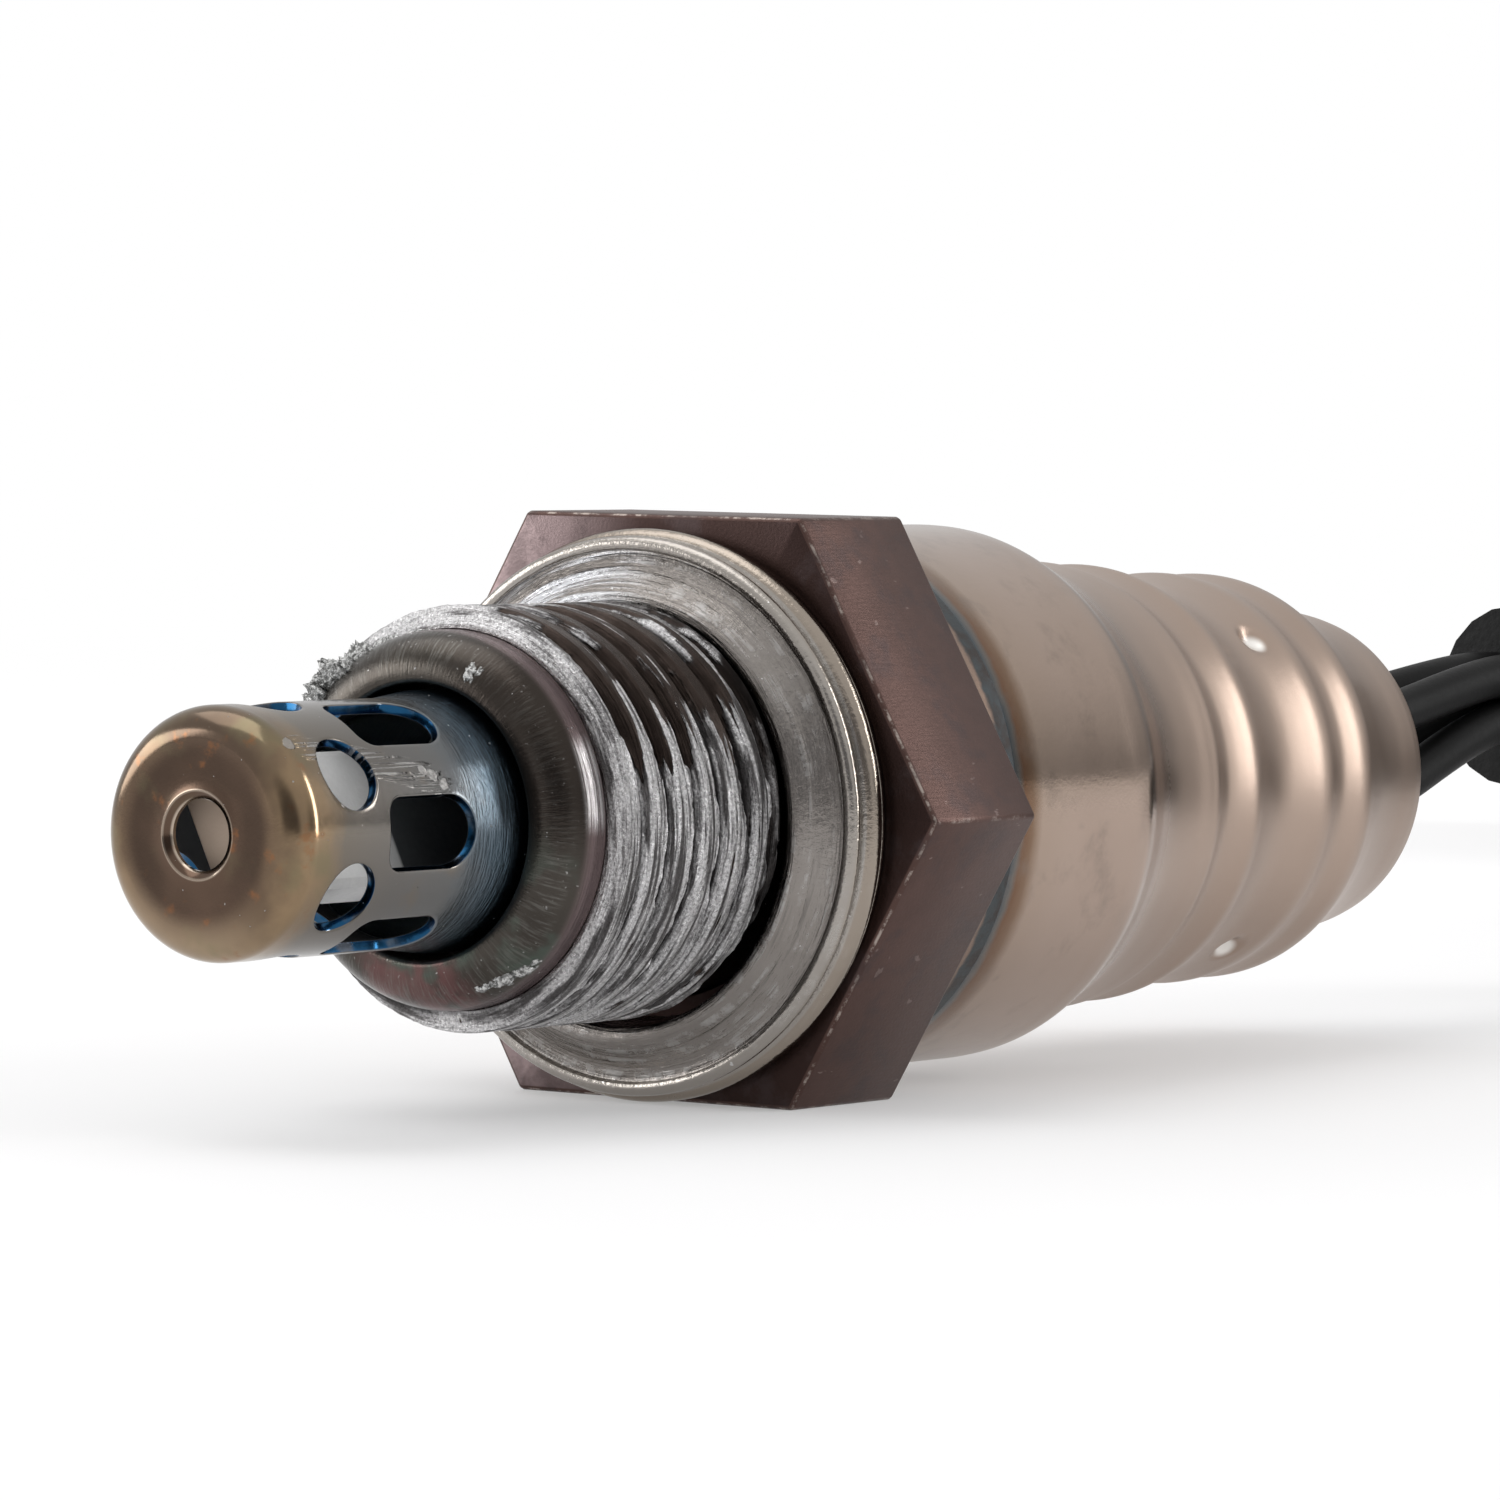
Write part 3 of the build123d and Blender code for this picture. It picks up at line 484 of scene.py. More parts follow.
# ----------------
# Shell: turned from one bar of stainless steel, with a rounded nose, an M12 x 1.25 rolled thread, an
# undercut, a 17 mm hexagon and a collar. It is oxidised dark brown, and silver anti-seize paste fills most of
# the thread.
# ----------------
THROAT_RADIUS = 3.86
THROAT_END = -8.0
NOSE_ROLL = 1.3
LIP_ROUND = 0.19
THREAD_RADIUS = 6.0
THREAD_PITCH = 1.25
THREAD_DEPTH = 0.62
THREAD_START = -9.42
THREAD_CHAMFER = 0.2
THREAD_END = -2.2
THREAD_GROOVE = -8.7
UNDERCUT_START = -1.9
UNDERCUT_RADIUS = 5.5
UNDERCUT_FILLET = 0.06
HEX_ACROSS_FLATS = 17.0
HEX_LENGTH = 5.15
HEX_CORNER_ROUND = 0.22
HEX_EDGE = [(0, 0.16), (0.03, 0.08), (0.08, 0.03), (0.16, 0)]
HEX_CORNER_POINTS = 9
FACE_RINGS = (7.0, 7.9)
WELD_FILLET = [(0, 0.15), (0.12, 0.02), (0.3, 0)]
COLLAR_RADIUS = 8.1
COLLAR_END = 6.6
SEAT_RADIUS = 7.6
SEAT_END = 10.2
REAR_BORE_RADIUS = 4.1
ROOT_HALF = 0.10
FLANK = 0.24
PASTE_GROOVE = 0.30
PASTE_PROUD = 0.12
PASTE_FRONT = -8.9
SHELL_COLUMNS = 432
THREAD_STEP = 0.04
BARE_ANGLE = 57.0
BARE_REACH = 44.0


def thread_wall(station):
    """The most that the thread's radius can be at a station: its chamfered start and its run-out."""
    start = THREAD_START - THREAD_CHAMFER
    crown = THROAT_RADIUS + LIP_ROUND + NOSE_ROLL
    return np.interp(
        station,
        [start, THREAD_START, THREAD_END, UNDERCUT_START],
        [crown, THREAD_RADIUS, THREAD_RADIUS, UNDERCUT_RADIUS],
    )


def apart(angle, other):
    """How far an angle is past another, from -180 to 180 degrees."""
    return (angle - other + 180) % 360 - 180


def eased(share):
    """0 up to 0, 1 from 1 on, and smooth between them."""
    share = min(1.0, max(0.0, share))
    return share * share * (3 - 2 * share)


def along_helix(station, angle):
    """The station at angle 0 of the thread's turn through a place, and the place's angle from -180 to 180."""
    turn = angle if angle < 180 else angle - 360
    return station + THREAD_PITCH * turn / 360, turn


def groove(along, half_root, flank):
    """The share of its depth that a groove of the thread has, for a root and flanks in pitches."""
    phase = ((along - THREAD_GROOVE) / THREAD_PITCH + 0.5) % 1 - 0.5
    return 1 - eased((abs(phase) - half_root) / flank)


def bareness(angle):
    """1 where the boss has wiped the paste away, and 0 elsewhere."""
    return max(0.0, 1 - (apart(angle, BARE_ANGLE) / BARE_REACH) ** 2)


def paste_cover(station, angle, crest):
    """How much paste lies at a place of the thread, from 0 to 1; wiped crests keep crumbs of it."""
    spot = Vector((station * 0.75, cos(radians(angle)) * 4.2, sin(radians(angle)) * 4.2))
    patch = noise.fractal(spot, 0.8, 2.1, 4)
    along, turn = along_helix(station, angle)
    streak = noise.fractal(Vector((along * 2.6, radians(turn) * 1.1, 3.0)), 0.6, 2.2, 3)
    front = 0.9 * max(0.0, (PASTE_FRONT - station) / 0.4)
    bare = bareness(angle)
    return min(1.0, max(0.0, 0.95 - 1.15 * bare + front + 0.3 * patch + 0.75 * streak + 0.2 * bare * crest))


def threaded_rows():
    """The thread with its paste, as rows of points, and the paste's cover and the depth at each."""
    angles = np.arange(SHELL_COLUMNS) * 360 / SHELL_COLUMNS
    stations = np.arange(THREAD_START - THREAD_CHAMFER, UNDERCUT_START + 0.001, THREAD_STEP)
    rows, covers, depths = [], [], []
    for station in stations:
        wall = thread_wall(station)
        row = []
        for angle in angles:
            along, turn = along_helix(station, angle)
            cut = groove(along, ROOT_HALF, FLANK)
            steel = min(wall, THREAD_RADIUS - THREAD_DEPTH * cut)
            paste = paste_cover(station, angle, 1 - cut)
            ridges = noise.fractal(Vector((along * 3.2, radians(turn) * 0.9, 7.0)), 0.45, 2.3, 4)
            grain = noise.fractal(Vector(point(station, THREAD_RADIUS, angle)) / MM * 4.5, 0.6, 2.0, 2)
            spread = wall - 0.02 - PASTE_GROOVE * groove(along, 0.04, 0.10) + 0.060 * ridges + 0.018 * grain
            level = min(steel + (max(spread, steel + 0.02) - steel) * paste, wall + PASTE_PROUD)
            row.append(point(station, level, angle))
            covers.append(paste)
            depths.append((wall - level) / PASTE_GROOVE)
        rows.append(row)
    return rows, {"paste": covers, "depth": depths}


def hexagon_row(station, inset):
    """A ring on the hexagon at a station, moved inwards by inset; its corners are rounded."""
    corner_reach = (HEX_ACROSS_FLATS / 2 - HEX_CORNER_ROUND) / cos(pi / 6)
    reach = HEX_CORNER_ROUND - inset
    flat_count = SHELL_COLUMNS // 6 - HEX_CORNER_POINTS + 1
    ring = []
    for corner in range(6):
        heading = radians(corner * 60)
        centre, following = (
            Vector((cos(a), sin(a))) * corner_reach for a in (heading, heading + radians(60))
        )
        turns = [heading + radians(a) for a in np.linspace(-30, 30, HEX_CORNER_POINTS)]
        bend = [centre + Vector((cos(t), sin(t))) * reach for t in turns]
        end = following + Vector((cos(turns[-1]), sin(turns[-1]))) * reach
        ring += bend + [bend[-1].lerp(end, i / flat_count) for i in range(1, flat_count)]
    return [point(station, p.length, degrees(atan2(p.y, p.x))) for p in ring]


def circle_row(station, radius):
    """A ring whose points face those of the hexagon's rings."""
    facing = [degrees(atan2(z / MM - AXIS_Z, -y / MM)) for _, y, z in hexagon_row(station, 0)]
    return [point(station, radius, angle) for angle in facing]


def shell_mesh():
    """The shell from its throat, round the nose, along the thread and the hexagon to its rear bore."""
    mesh = Mesh()
    step = 360 / SHELL_COLUMNS
    lip_r = THROAT_RADIUS + LIP_ROUND
    lip = SHELL_FRONT + LIP_ROUND
    nose = [(THROAT_END, THROAT_RADIUS), (THREAD_START - THREAD_CHAMFER, THROAT_RADIUS), (lip, THROAT_RADIUS)]
    nose += arc(lip, lip_r, LIP_ROUND, 270, 180, 6)[1:-1]
    nose += arc(SHELL_FRONT + NOSE_ROLL, lip_r, NOSE_ROLL, 180, 90, 26)
    nose += [(THREAD_START - THREAD_CHAMFER, lip_r + NOSE_ROLL)]
    mesh.turned(nose, step)
    rows, mesh.layers = threaded_rows()
    mesh.first = len(mesh.points)
    mesh.grid(rows)
    neck = UNDERCUT_RADIUS + UNDERCUT_FILLET
    mesh.turned([(UNDERCUT_START, UNDERCUT_RADIUS), (-UNDERCUT_FILLET, UNDERCUT_RADIUS), (0, neck)], step)
    body = [circle_row(0, radius) for radius in (neck, *FACE_RINGS)]
    body += [hexagon_row(station, inset) for station, inset in HEX_EDGE]
    body += [hexagon_row(HEX_LENGTH - station, inset) for station, inset in reversed(HEX_EDGE)]
    collar = [(HEX_LENGTH + behind, COLLAR_RADIUS + out) for behind, out in WELD_FILLET]
    collar += [(COLLAR_END, COLLAR_RADIUS), (COLLAR_END, SEAT_RADIUS)]
    collar += [(SEAT_END, SEAT_RADIUS), (SEAT_END, REAR_BORE_RADIUS)]
    body += [circle_row(station, radius) for station, radius in collar]
    mesh.grid(body)
    return mesh


def shell_finish():
    """Oxidised steel from nose to collar, with the paste's silver where the mesh's own layer says."""
    material, place, feed = new_finish("oxidised_shell_steel", Metallic=0.9)
    station, angle, radius, unrolled = round_axis(place)
    cloud = place.noise(0.45, 4.0)
    spots = place.noise(1.6, 5.0)
    fine = place.noise(10.0, 4.0)
    paste = place.node("Attribute", {"attribute_name": "paste"}, {}, 2)
    depth = place.node("Attribute", {"attribute_name": "depth"}, {}, 2)

    # Nose: olive black with fine radial scratches, then a turned purple brown band.
    radial = unrolled.stretched(1.2, 55.0, 1.2).noise(1.0, 4.0, 0.65)
    # Painted shade: the upper right of the nose is darkened.
    olive = coated(
        cloud.blend((0.034, 0.029, 0.025), (0.080, 0.071, 0.061)),
        (place.noise(0.7, 3.0).rises(0.50, 0.66) * (1 - angle.rises(-30, 10)), 0.55, (0.085, 0.115, 0.095)),
        (place.noise(0.8, 3.0).rises(0.44, 0.60) * angle.within(-115, -70, 8), 0.6, (0.17, 0.075, 0.075)),
        (radial.rises(0.48, 0.62) * station.within(-11.30, -10.75, 0.12), 0.3, (0.20, 0.195, 0.18)),
        (place.noise(8.0, 2.0).rises(0.71, 0.74), 0.7, (0.45, 0.44, 0.43)),
        (angle.within(-5, 72, 18), 0.6, (0.022, 0.015, 0.012)),
    )
    band = station.rises(-10.55, -10.15)
    turned = unrolled.stretched(14.0, 0.4, 14.0).noise(1.0, 4.0, 0.7)
    plum = turned.blend((0.085, 0.058, 0.058), (0.225, 0.170, 0.170))
    # Painted highlight: light streaks on the band's right side, a little above its middle.
    wiped = angle.within(1, 26, 4) * station.within(-10.62, -9.72, 0.10) * turned.rises(0.43, 0.52)
    steel = band.blend(olive, coated(plum, (wiped, 0.95, (0.80, 0.77, 0.77))))

    # Thread: bare and dark brown, or covered with granular silver paste; paste deep in its grooves is painted
    # nearly black as shade.
    threaded = station.rises(-9.66, -9.58)
    bare = spots.blend((0.024, 0.017, 0.014), (0.070, 0.052, 0.044))
    # Painted shade: near black where the thread meets the undercut behind the gasket, which keeps the paste
    # off there too.
    neck_painted_shade = station.rises(-2.5, -2.15) * (1 - radius.rises(5.9, 6.6))
    steel = neck_painted_shade.blend(threaded.blend(steel, bare), (0.010, 0.009, 0.009))
    helix = station + angle * (THREAD_PITCH / 360)
    wound = (helix * 5.0).joined(angle * 0.026, radius * 2.0)
    streaks = wound.noise(1.0, 5.0, 0.62)
    gritty = place.noise(11.0, 3.0, 0.7)
    sparkle = gritty.rises(0.57, 0.66) * streaks.rises(0.40, 0.60)
    # Where the paste lies deep in a groove, it is painted nearly black as shade.
    silver = coated(
        streaks.rises(0.40, 0.58).blend((0.090, 0.085, 0.085), (0.64, 0.63, 0.635)),
        (1 - gritty.rises(0.36, 0.52), 0.5, (0.045, 0.043, 0.043)),
        (sparkle, 1.0, (0.97, 0.96, 0.96)),
        (depth.rises(0.42, 0.85), 0.95, (0.014, 0.012, 0.012)),
    )

    # Hexagon: brown purple oxide, pale along its worn edges, and blue grey at the weld. Its front face is
    # painted almost black as shade, and lighter pink towards its far side as a painted reflection.
    in_hexagon = station.rises(-0.05, -0.01)
    oxide = (cloud * 0.6 + spots * 0.4).blend((0.056, 0.033, 0.028), (0.120, 0.070, 0.060))
    face = 1 - station.rises(0.004, 0.02)
    # The front face: painted dark as shade, and lighter pink towards its far side as a painted reflection.
    far_side = angle.math("ABSOLUTE").rises(92, 128)
    facing = far_side.blend((0.032, 0.017, 0.014), (0.29, 0.22, 0.22))
    oxide = face.blend(oxide, (cloud * 0.3).blend(facing, (0.06, 0.04, 0.04)))
    sixth = ((angle + 360).math("MODULO", 60.0) - 30) * (pi / 180)
    across = radius * sixth.math("COSINE")
    along = (radius * sixth.math("SINE")).math("ABSOLUTE")
    near_corner = along.rises(4.80, 4.86) * station.rises(0.0, 0.06)
    near_front = across.rises(8.41, 8.45) * (1 - station.rises(0.08, 0.13))
    near_rear = station.rises(HEX_LENGTH - 0.12, HEX_LENGTH - 0.06) * (1 - station.rises(5.16, 5.2)) * 0.5
    near_edge = near_front.math("MAXIMUM", near_rear.math("MAXIMUM", near_corner * 0.45))
    worn = near_edge * place.noise(1.6, 5.0, 0.75).rises(0.46, 0.60)
    scratch = unrolled.stretched(1.0, 9.0, 6.0).noise(1.4, 2.0).rises(0.71, 0.74) * (1 - face)
    oxide = coated(
        oxide,
        (worn, 0.62, (0.55, 0.48, 0.43)),
        (scratch, 0.3, (0.36, 0.28, 0.26)),
        (place.noise(0.6, 5.0, 0.65).rises(0.48, 0.66), 0.55, (0.058, 0.042, 0.042)),
    )
    weld = station.rises(HEX_LENGTH + 0.02, HEX_LENGTH + 0.1)
    bluish = spots.rises(0.35, 0.6).blend((0.040, 0.034, 0.032), (0.048, 0.056, 0.060))
    # Painted highlight: a thin tan line just behind the hexagon.
    tan_line_highlight = (station + (spots - 0.5) * 0.5).within(5.62, 5.95, 0.12)
    oxide = weld.blend(oxide, coated(bluish, (tan_line_highlight, 0.9, (0.25, 0.175, 0.135))))
    steel = in_hexagon.blend(steel, oxide)

    flakes = place.noise(3.6, 3.0).rises(0.735, 0.75) * (1 - in_hexagon)
    covered = (paste * threaded + (streaks - 0.5) * 1.3).rises(0.30, 0.46) * threaded * (1 - neck_painted_shade * 0.9)
    covered = covered.math("MAXIMUM", flakes * 0.9)
    colour = covered.blend(steel, silver)

    milled = place.stretched(1.4, 12.0, 12.0).noise(1.0, 3.0)
    on_nose = 1 - band
    height = radial * 0.013 * on_nose + turned * 0.045 * band * (1 - in_hexagon)
    height = height + milled * 0.006 * in_hexagon + fine * 0.005
    height = height + covered * (streaks * 0.16 + gritty * 0.06)
    rough = 0.13 + fine * 0.10 + in_hexagon * 0.20 + covered * 0.08 + spots * 0.06
    feed(colour, rough, height)
    return material


def store_layers(piece, mesh):
    """Stores the paste's cover and the depth of each place on the shell, for its material."""
    places = [tuple(round(c / MM, 3) for c in p) for p in mesh.points[mesh.first :]]
    for name, values in mesh.layers.items():
        known = dict(zip(places, values))
        layer = piece.data.attributes.new(name, "FLOAT", "POINT")
        for i, vertex in enumerate(piece.data.vertices):
            layer.data[i].value = known.get(tuple(round(c / MM, 3) for c in vertex.co), 0.0)


shell_parts = shell_mesh()
shell = shell_parts.piece("shell", shell_finish(), ["sensor_shell"], "shell_steel")
store_layers(shell, shell_parts)


# ----------------
# Paste lumps: crumbs of the same anti-seize paste, pushed off the front of the thread on to the nose, with
# the largest heap on the side that faces away.
# ----------------
LUMPS = [
    # reach, angle, half length, half width, turn, height
    (0.56, 67.5, 0.30, 0.22, 30, 0.12),
    (0.70, 64.5, 0.16, 0.12, 0, 0.09),
    (1.25, -57.5, 0.42, 0.24, 70, 0.15),
    (1.40, -51.0, 0.38, 0.20, 60, 0.14),
    (1.10, -65.0, 0.30, 0.15, 85, 0.11),
    (1.52, -46.0, 0.18, 0.12, 50, 0.09),
    (1.05, -61.0, 0.09, 0.07, 0, 0.07),
    (2.19, -5.0, 0.13, 0.08, 60, 0.05),
    (2.14, -9.0, 0.08, 0.06, 0, 0.04),
    (1.74, 9.0, 0.10, 0.06, 10, 0.04),
    (1.25, 126.0, 0.40, 0.30, 30, 0.40),
    (1.45, 131.0, 0.45, 0.34, 80, 0.55),
    (1.30, 137.0, 0.45, 0.34, 20, 0.50),
    (1.75, 122.0, 0.45, 0.28, 80, 0.40),
    (1.60, 143.0, 0.45, 0.34, 20, 0.45),
    (2.10, 128.0, 0.50, 0.30, 80, 0.38),
    (2.10, 114.0, 0.50, 0.22, 85, 0.22),
    (2.14, 102.0, 0.45, 0.14, 85, 0.12),
    (2.14, 150.0, 0.60, 0.28, 85, 0.30),
]
LUMP_COLUMNS = 32
LUMP_RINGS = (1.0, 0.94, 0.82, 0.64, 0.42, 0.2, 0.04)
LUMP_SINK = 0.05
HEAP_HEIGHT = 0.2
NOSE_MEAN_RADIUS = 5.0


def nose_place(reach, out, angle):
    """A place out from the nose's surface, by its reach from the nose's foremost circle, in metres."""
    way = min(reach / NOSE_ROLL, pi / 2)
    past = max(0.0, reach - NOSE_ROLL * pi / 2)
    radius = THROAT_RADIUS + LIP_ROUND + (NOSE_ROLL + out) * sin(way)
    return point(SHELL_FRONT + NOSE_ROLL - (NOSE_ROLL + out) * cos(way) + past, radius, angle)


def lump(mesh, reach, angle, length, width, turn, height):
    """A ragged mound that lies on the nose; high ones are rougher."""
    seed = Vector((reach * 3.1, angle * 0.37, 0))
    roughness = 0.5 if height > HEAP_HEIGHT else 0.15
    rows = []
    for share in LUMP_RINGS:
        row = []
        for i in range(LUMP_COLUMNS):
            way = 2 * pi * i / LUMP_COLUMNS
            ragged = 1 + 0.6 * noise.fractal(seed + Vector((cos(way), sin(way), 0)) * 1.6, 0.6, 2.2, 4)
            a = length * share * ragged * cos(way)
            b = width * share * ragged * sin(way)
            along = a * cos(radians(turn)) - b * sin(radians(turn))
            around = a * sin(radians(turn)) + b * cos(radians(turn))
            rough = roughness * noise.fractal(seed + Vector((a, b, 0)) * 7, 0.6, 2.2, 3)
            rise = height * ((1 - share * share) ** 0.5 * (1 + rough)) - LUMP_SINK
            row.append(nose_place(reach + along, rise, angle + degrees(around / NOSE_MEAN_RADIUS)))
        rows.append(row)
    mesh.grid(rows)


def paste_finish():
    material, place, feed = new_finish("anti_seize_paste", Metallic=0.85)
    gritty = place.noise(7.0, 4.0, 0.7)
    colour = gritty.rises(0.35, 0.65).blend((0.13, 0.13, 0.125), (0.70, 0.70, 0.69))
    feed(colour, 0.16 + gritty * 0.2, gritty * 0.10)
    return material


lumps_mesh = Mesh()
for values in LUMPS:
    lump(lumps_mesh, *values)
lumps_mesh.piece("paste_lumps", paste_finish(), [], "shell_steel", sharp=18)


# ----------------
# Crush gasket: a strip of soft stainless steel, folded in an S and rolled into a loose ring. Fitting has
# polished its outer fold and scuffed its dished face.
# ----------------
GASKET_SAG = 0.2
DISHED_FACE = [
    (-1.90, 6.05), (-2.06, 6.10), (-2.14, 6.22), (-2.15, 6.38), (-2.08, 6.55), (-1.94, 6.70),
    (-1.76, 6.86), (-1.60, 7.05), (-1.46, 7.26), (-1.38, 7.44), (-1.36, 7.56), (-1.42, 7.66),
]
FRONT_GROOVE = [(-1.14, 8.03), (-1.08, 7.96), (-1.02, 7.96)]
REAR_GROOVE = [(-0.32, 7.98), (-0.29, 7.94), (-0.26, 7.98)]
GASKET_INSIDE = [
    (-0.02, 7.50), (-0.02, 5.90), (-0.08, 5.84), (-0.36, 5.84), (-0.70, 5.95), (-1.60, 5.98), (-1.90, 6.05),
]


def gasket_outline():
    """The folded strip's section, from its dished face over the three folds of its rim to its bore."""
    front_fold = arc(-1.34, 7.84, 0.25, 205, 70, 16)
    middle_fold = arc(-0.62, 7.92, 0.38, 160, 20, 16)
    rear_fold = arc(-0.14, 7.98, 0.13, 150, 0, 8)
    return DISHED_FACE + front_fold + FRONT_GROOVE + middle_fold + REAR_GROOVE + rear_fold + GASKET_INSIDE


def gasket_finish():
    """Soft grey steel, scuffed and wavy on its face, polished on its outer fold and brown behind it."""
    material, place, feed = new_finish("gasket_steel", Metallic=1.0)
    _, angle, radius, unrolled = round_axis(place.vector("ADD", (0, 0, GASKET_SAG)))
    cloud = place.noise(0.5, 4.0)
    swirl = unrolled.stretched(2.0, 1.3, 4.2).noise(1.0, 5.0, 0.62)
    crossed = place.stretched(1.0, 1.6, 1.6).noise(1.0, 5.0, 0.7)
    fine = place.noise(10.0, 3.0)
    scuffed = swirl.rises(0.48, 0.62) * crossed.rises(0.42, 0.62)
    polished = radius.rises(7.6, 7.72)
    # Painted reflection: light blue-white streaks on the upper left of the dished face.
    painted_reflection = angle.within(92, 162, 14) * swirl.rises(0.44, 0.58) * radius.within(6.0, 7.7, 0.15)
    colour = coated(
        cloud.blend((0.200, 0.180, 0.165), (0.300, 0.278, 0.260)),
        (scuffed, 0.55, (0.50, 0.49, 0.48)),
        (1 - swirl.rises(0.30, 0.42), 0.5, (0.10, 0.095, 0.09)),
        (polished, 0.6, (0.40, 0.37, 0.335)),
        (radius.rises(8.06, 8.12), 0.5, (0.27, 0.21, 0.155)),
        (place.noise(4.0, 2.0).rises(0.74, 0.76), 0.7, (0.7, 0.7, 0.7)),
        (painted_reflection, 0.9, (0.70, 0.71, 0.74)),
    )
    rough = 0.20 + fine * 0.08 + scuffed * 0.12 - polished * 0.06
    wavy = 0.085 + angle.within(70, 175, 30) * 0.14
    height = swirl * wavy * (1 - polished * 0.85) + crossed * 0.035 + fine * 0.004
    feed(colour, rough, height)
    return material


gasket_mesh = Mesh()
gasket_mesh.turned(gasket_outline(), 1.0)
gasket_mesh.points = [(x, y, z - GASKET_SAG * MM) for x, y, z in gasket_mesh.points]
gasket_mesh.piece("gasket", gasket_finish(), ["crush_gasket"], "gasket_steel")


# ----------------
# Rear sleeve: drawn in steps from one stainless tube, pushed over the collar and laser welded to it, with
# rings and four dimples pressed in round the grommet. Satin, and tinted brown beside the weld.
# ----------------
SLEEVE_OUTLINE = [
    (COLLAR_END, 8.1), (9.0, 8.1), (11.0, 8.1), (12.6, 8.1), (13.5, 8.09), (13.95, 8.05), (14.35, 7.93),
    (14.8, 7.76), (15.5, 7.50), (16.6, 7.20), (17.4, 7.07), (18.2, 6.98), (19.1, 6.93), (19.55, 6.89),
    (19.8, 6.80), (20.2, 6.70), (20.7, 6.69), (21.3, 6.74), (21.8, 6.80), (22.2, 6.74), (22.7, 6.58),
    (23.3, 6.42), (23.9, 6.33), (24.4, 6.31), (25.0, 6.34), (25.7, 6.41), (26.3, 6.48), (26.7, 6.46),
    (27.2, 6.35), (27.6, 6.31), (28.1, 6.35), (28.7, 6.42), (29.1, 6.39), (29.7, 6.18), (31.0, 5.69),
    (32.6, 5.31), (33.6, 5.17), (34.15, 5.07), (34.52, 4.93), (34.7, 4.70),
]
WELD_TINT = [
    (0.00, 0.060, 0.075, 0.085), (0.06, 0.13, 0.12, 0.11), (0.12, 0.16, 0.085, 0.048),
    (0.22, 0.20, 0.125, 0.080), (0.36, 0.36, 0.275, 0.22), (1.00, 0.38, 0.292, 0.24),
]
SLEEVE_LIP = [(34.68, 4.42), (34.5, 4.26), (33.6, 4.3), (31.0, 4.6)]
SLEEVE_STEP = 1.5
SLEEVE_SPACING = 0.12
DIMPLE_STATION = 25.1
DIMPLE_ANGLES = (46.0, -54.0, 126.0, -134.0)
DIMPLE_RADIUS = 0.62
DIMPLE_DEPTH = 0.26


def smooth_through(points, spacing):
    """Points along a curve that passes through all the given ones without overshooting between them."""
    stations = np.array([p[0] for p in points])
    radii = np.array([p[1] for p in points])
    slopes = np.gradient(radii, stations)
    fine = np.arange(stations[0], stations[-1], spacing)
    span = np.clip(np.searchsorted(stations, fine, side="right") - 1, 0, len(stations) - 2)
    width = stations[span + 1] - stations[span]
    t = (fine - stations[span]) / width
    curve = (2 * t**3 - 3 * t**2 + 1) * radii[span] + (t**3 - 2 * t**2 + t) * width * slopes[span]
    curve += (3 * t**2 - 2 * t**3) * radii[span + 1] + (t**3 - t**2) * width * slopes[span + 1]
    return list(zip(fine, curve)) + [points[-1]]


def sleeve_mesh():
    """The sleeve with its dimples, turned in at its rear end."""
    mesh = Mesh()
    angles = np.arange(0, 360, SLEEVE_STEP)
    rows = []
    for station, radius in smooth_through(SLEEVE_OUTLINE, SLEEVE_SPACING):
        row = []
        for angle in angles:
            pressed = 0.0
            for dimple in DIMPLE_ANGLES:
                aside = radians(apart(angle, dimple)) * radius
                reach = hypot(station - DIMPLE_STATION, aside) / DIMPLE_RADIUS
                pressed += max(0.0, 1 - reach * reach) ** 1.5
            row.append(point(station, radius - DIMPLE_DEPTH * pressed, angle))
        rows.append(row)
    rows += [[point(station, radius, a) for a in angles] for station, radius in SLEEVE_LIP]
    mesh.grid(rows)
    return mesh


def sleeve_finish():
    """Satin beige steel with a blue, brown and straw tint beside the weld, and a painted glint in each
    pressed dimple.
    """
    material, place, feed = new_finish("drawn_sleeve_steel", Metallic=1.0)
    station, _, _, unrolled = round_axis(place)
    cloud = place.noise(0.22, 3.0)
    fine = place.noise(9.0, 4.0)
    drawn = unrolled.stretched(0.8, 20.0, 1.0).noise(1.0, 3.0)
    beige = cloud.blend((0.340, 0.258, 0.210), (0.420, 0.325, 0.268))
    tinted = station + (place.noise(0.9, 3.0) - 0.5) * 0.35
    scale = tinted.node("MapRange", {}, {0: tinted, 1: 6.6, 2: 10.6})
    smoked = place.noise(0.5, 5.0, 0.65).rises(0.50, 0.72) * (1 - station.rises(11.0, 15.0))
    colour = tinted.rises(8.4, 10.6).blend(scale.ramp(WELD_TINT), beige)
    colour = coated(colour, (smoked, 0.45, (0.20, 0.155, 0.13)))
    # Painted glint: a small light spot in each dimple.
    for turn in DIMPLE_ANGLES:
        away = away_from(place, DIMPLE_STATION + 0.1, 6.2, turn - 1.5)
        colour = coated(colour, (1 - away.rises(0.20, 0.48), 1.0, (0.88, 0.85, 0.81)))
    rough = 0.12 + fine * 0.04 + cloud * 0.08 + station.rises(14.5, 17.5) * 0.17
    height = drawn * 0.003 + fine * 0.003
    feed(colour, rough, height)
    return material


sleeve_steel = sleeve_finish()
sleeve_mesh().piece("sleeve", sleeve_steel, ["rear_sleeve"], "sleeve_steel")


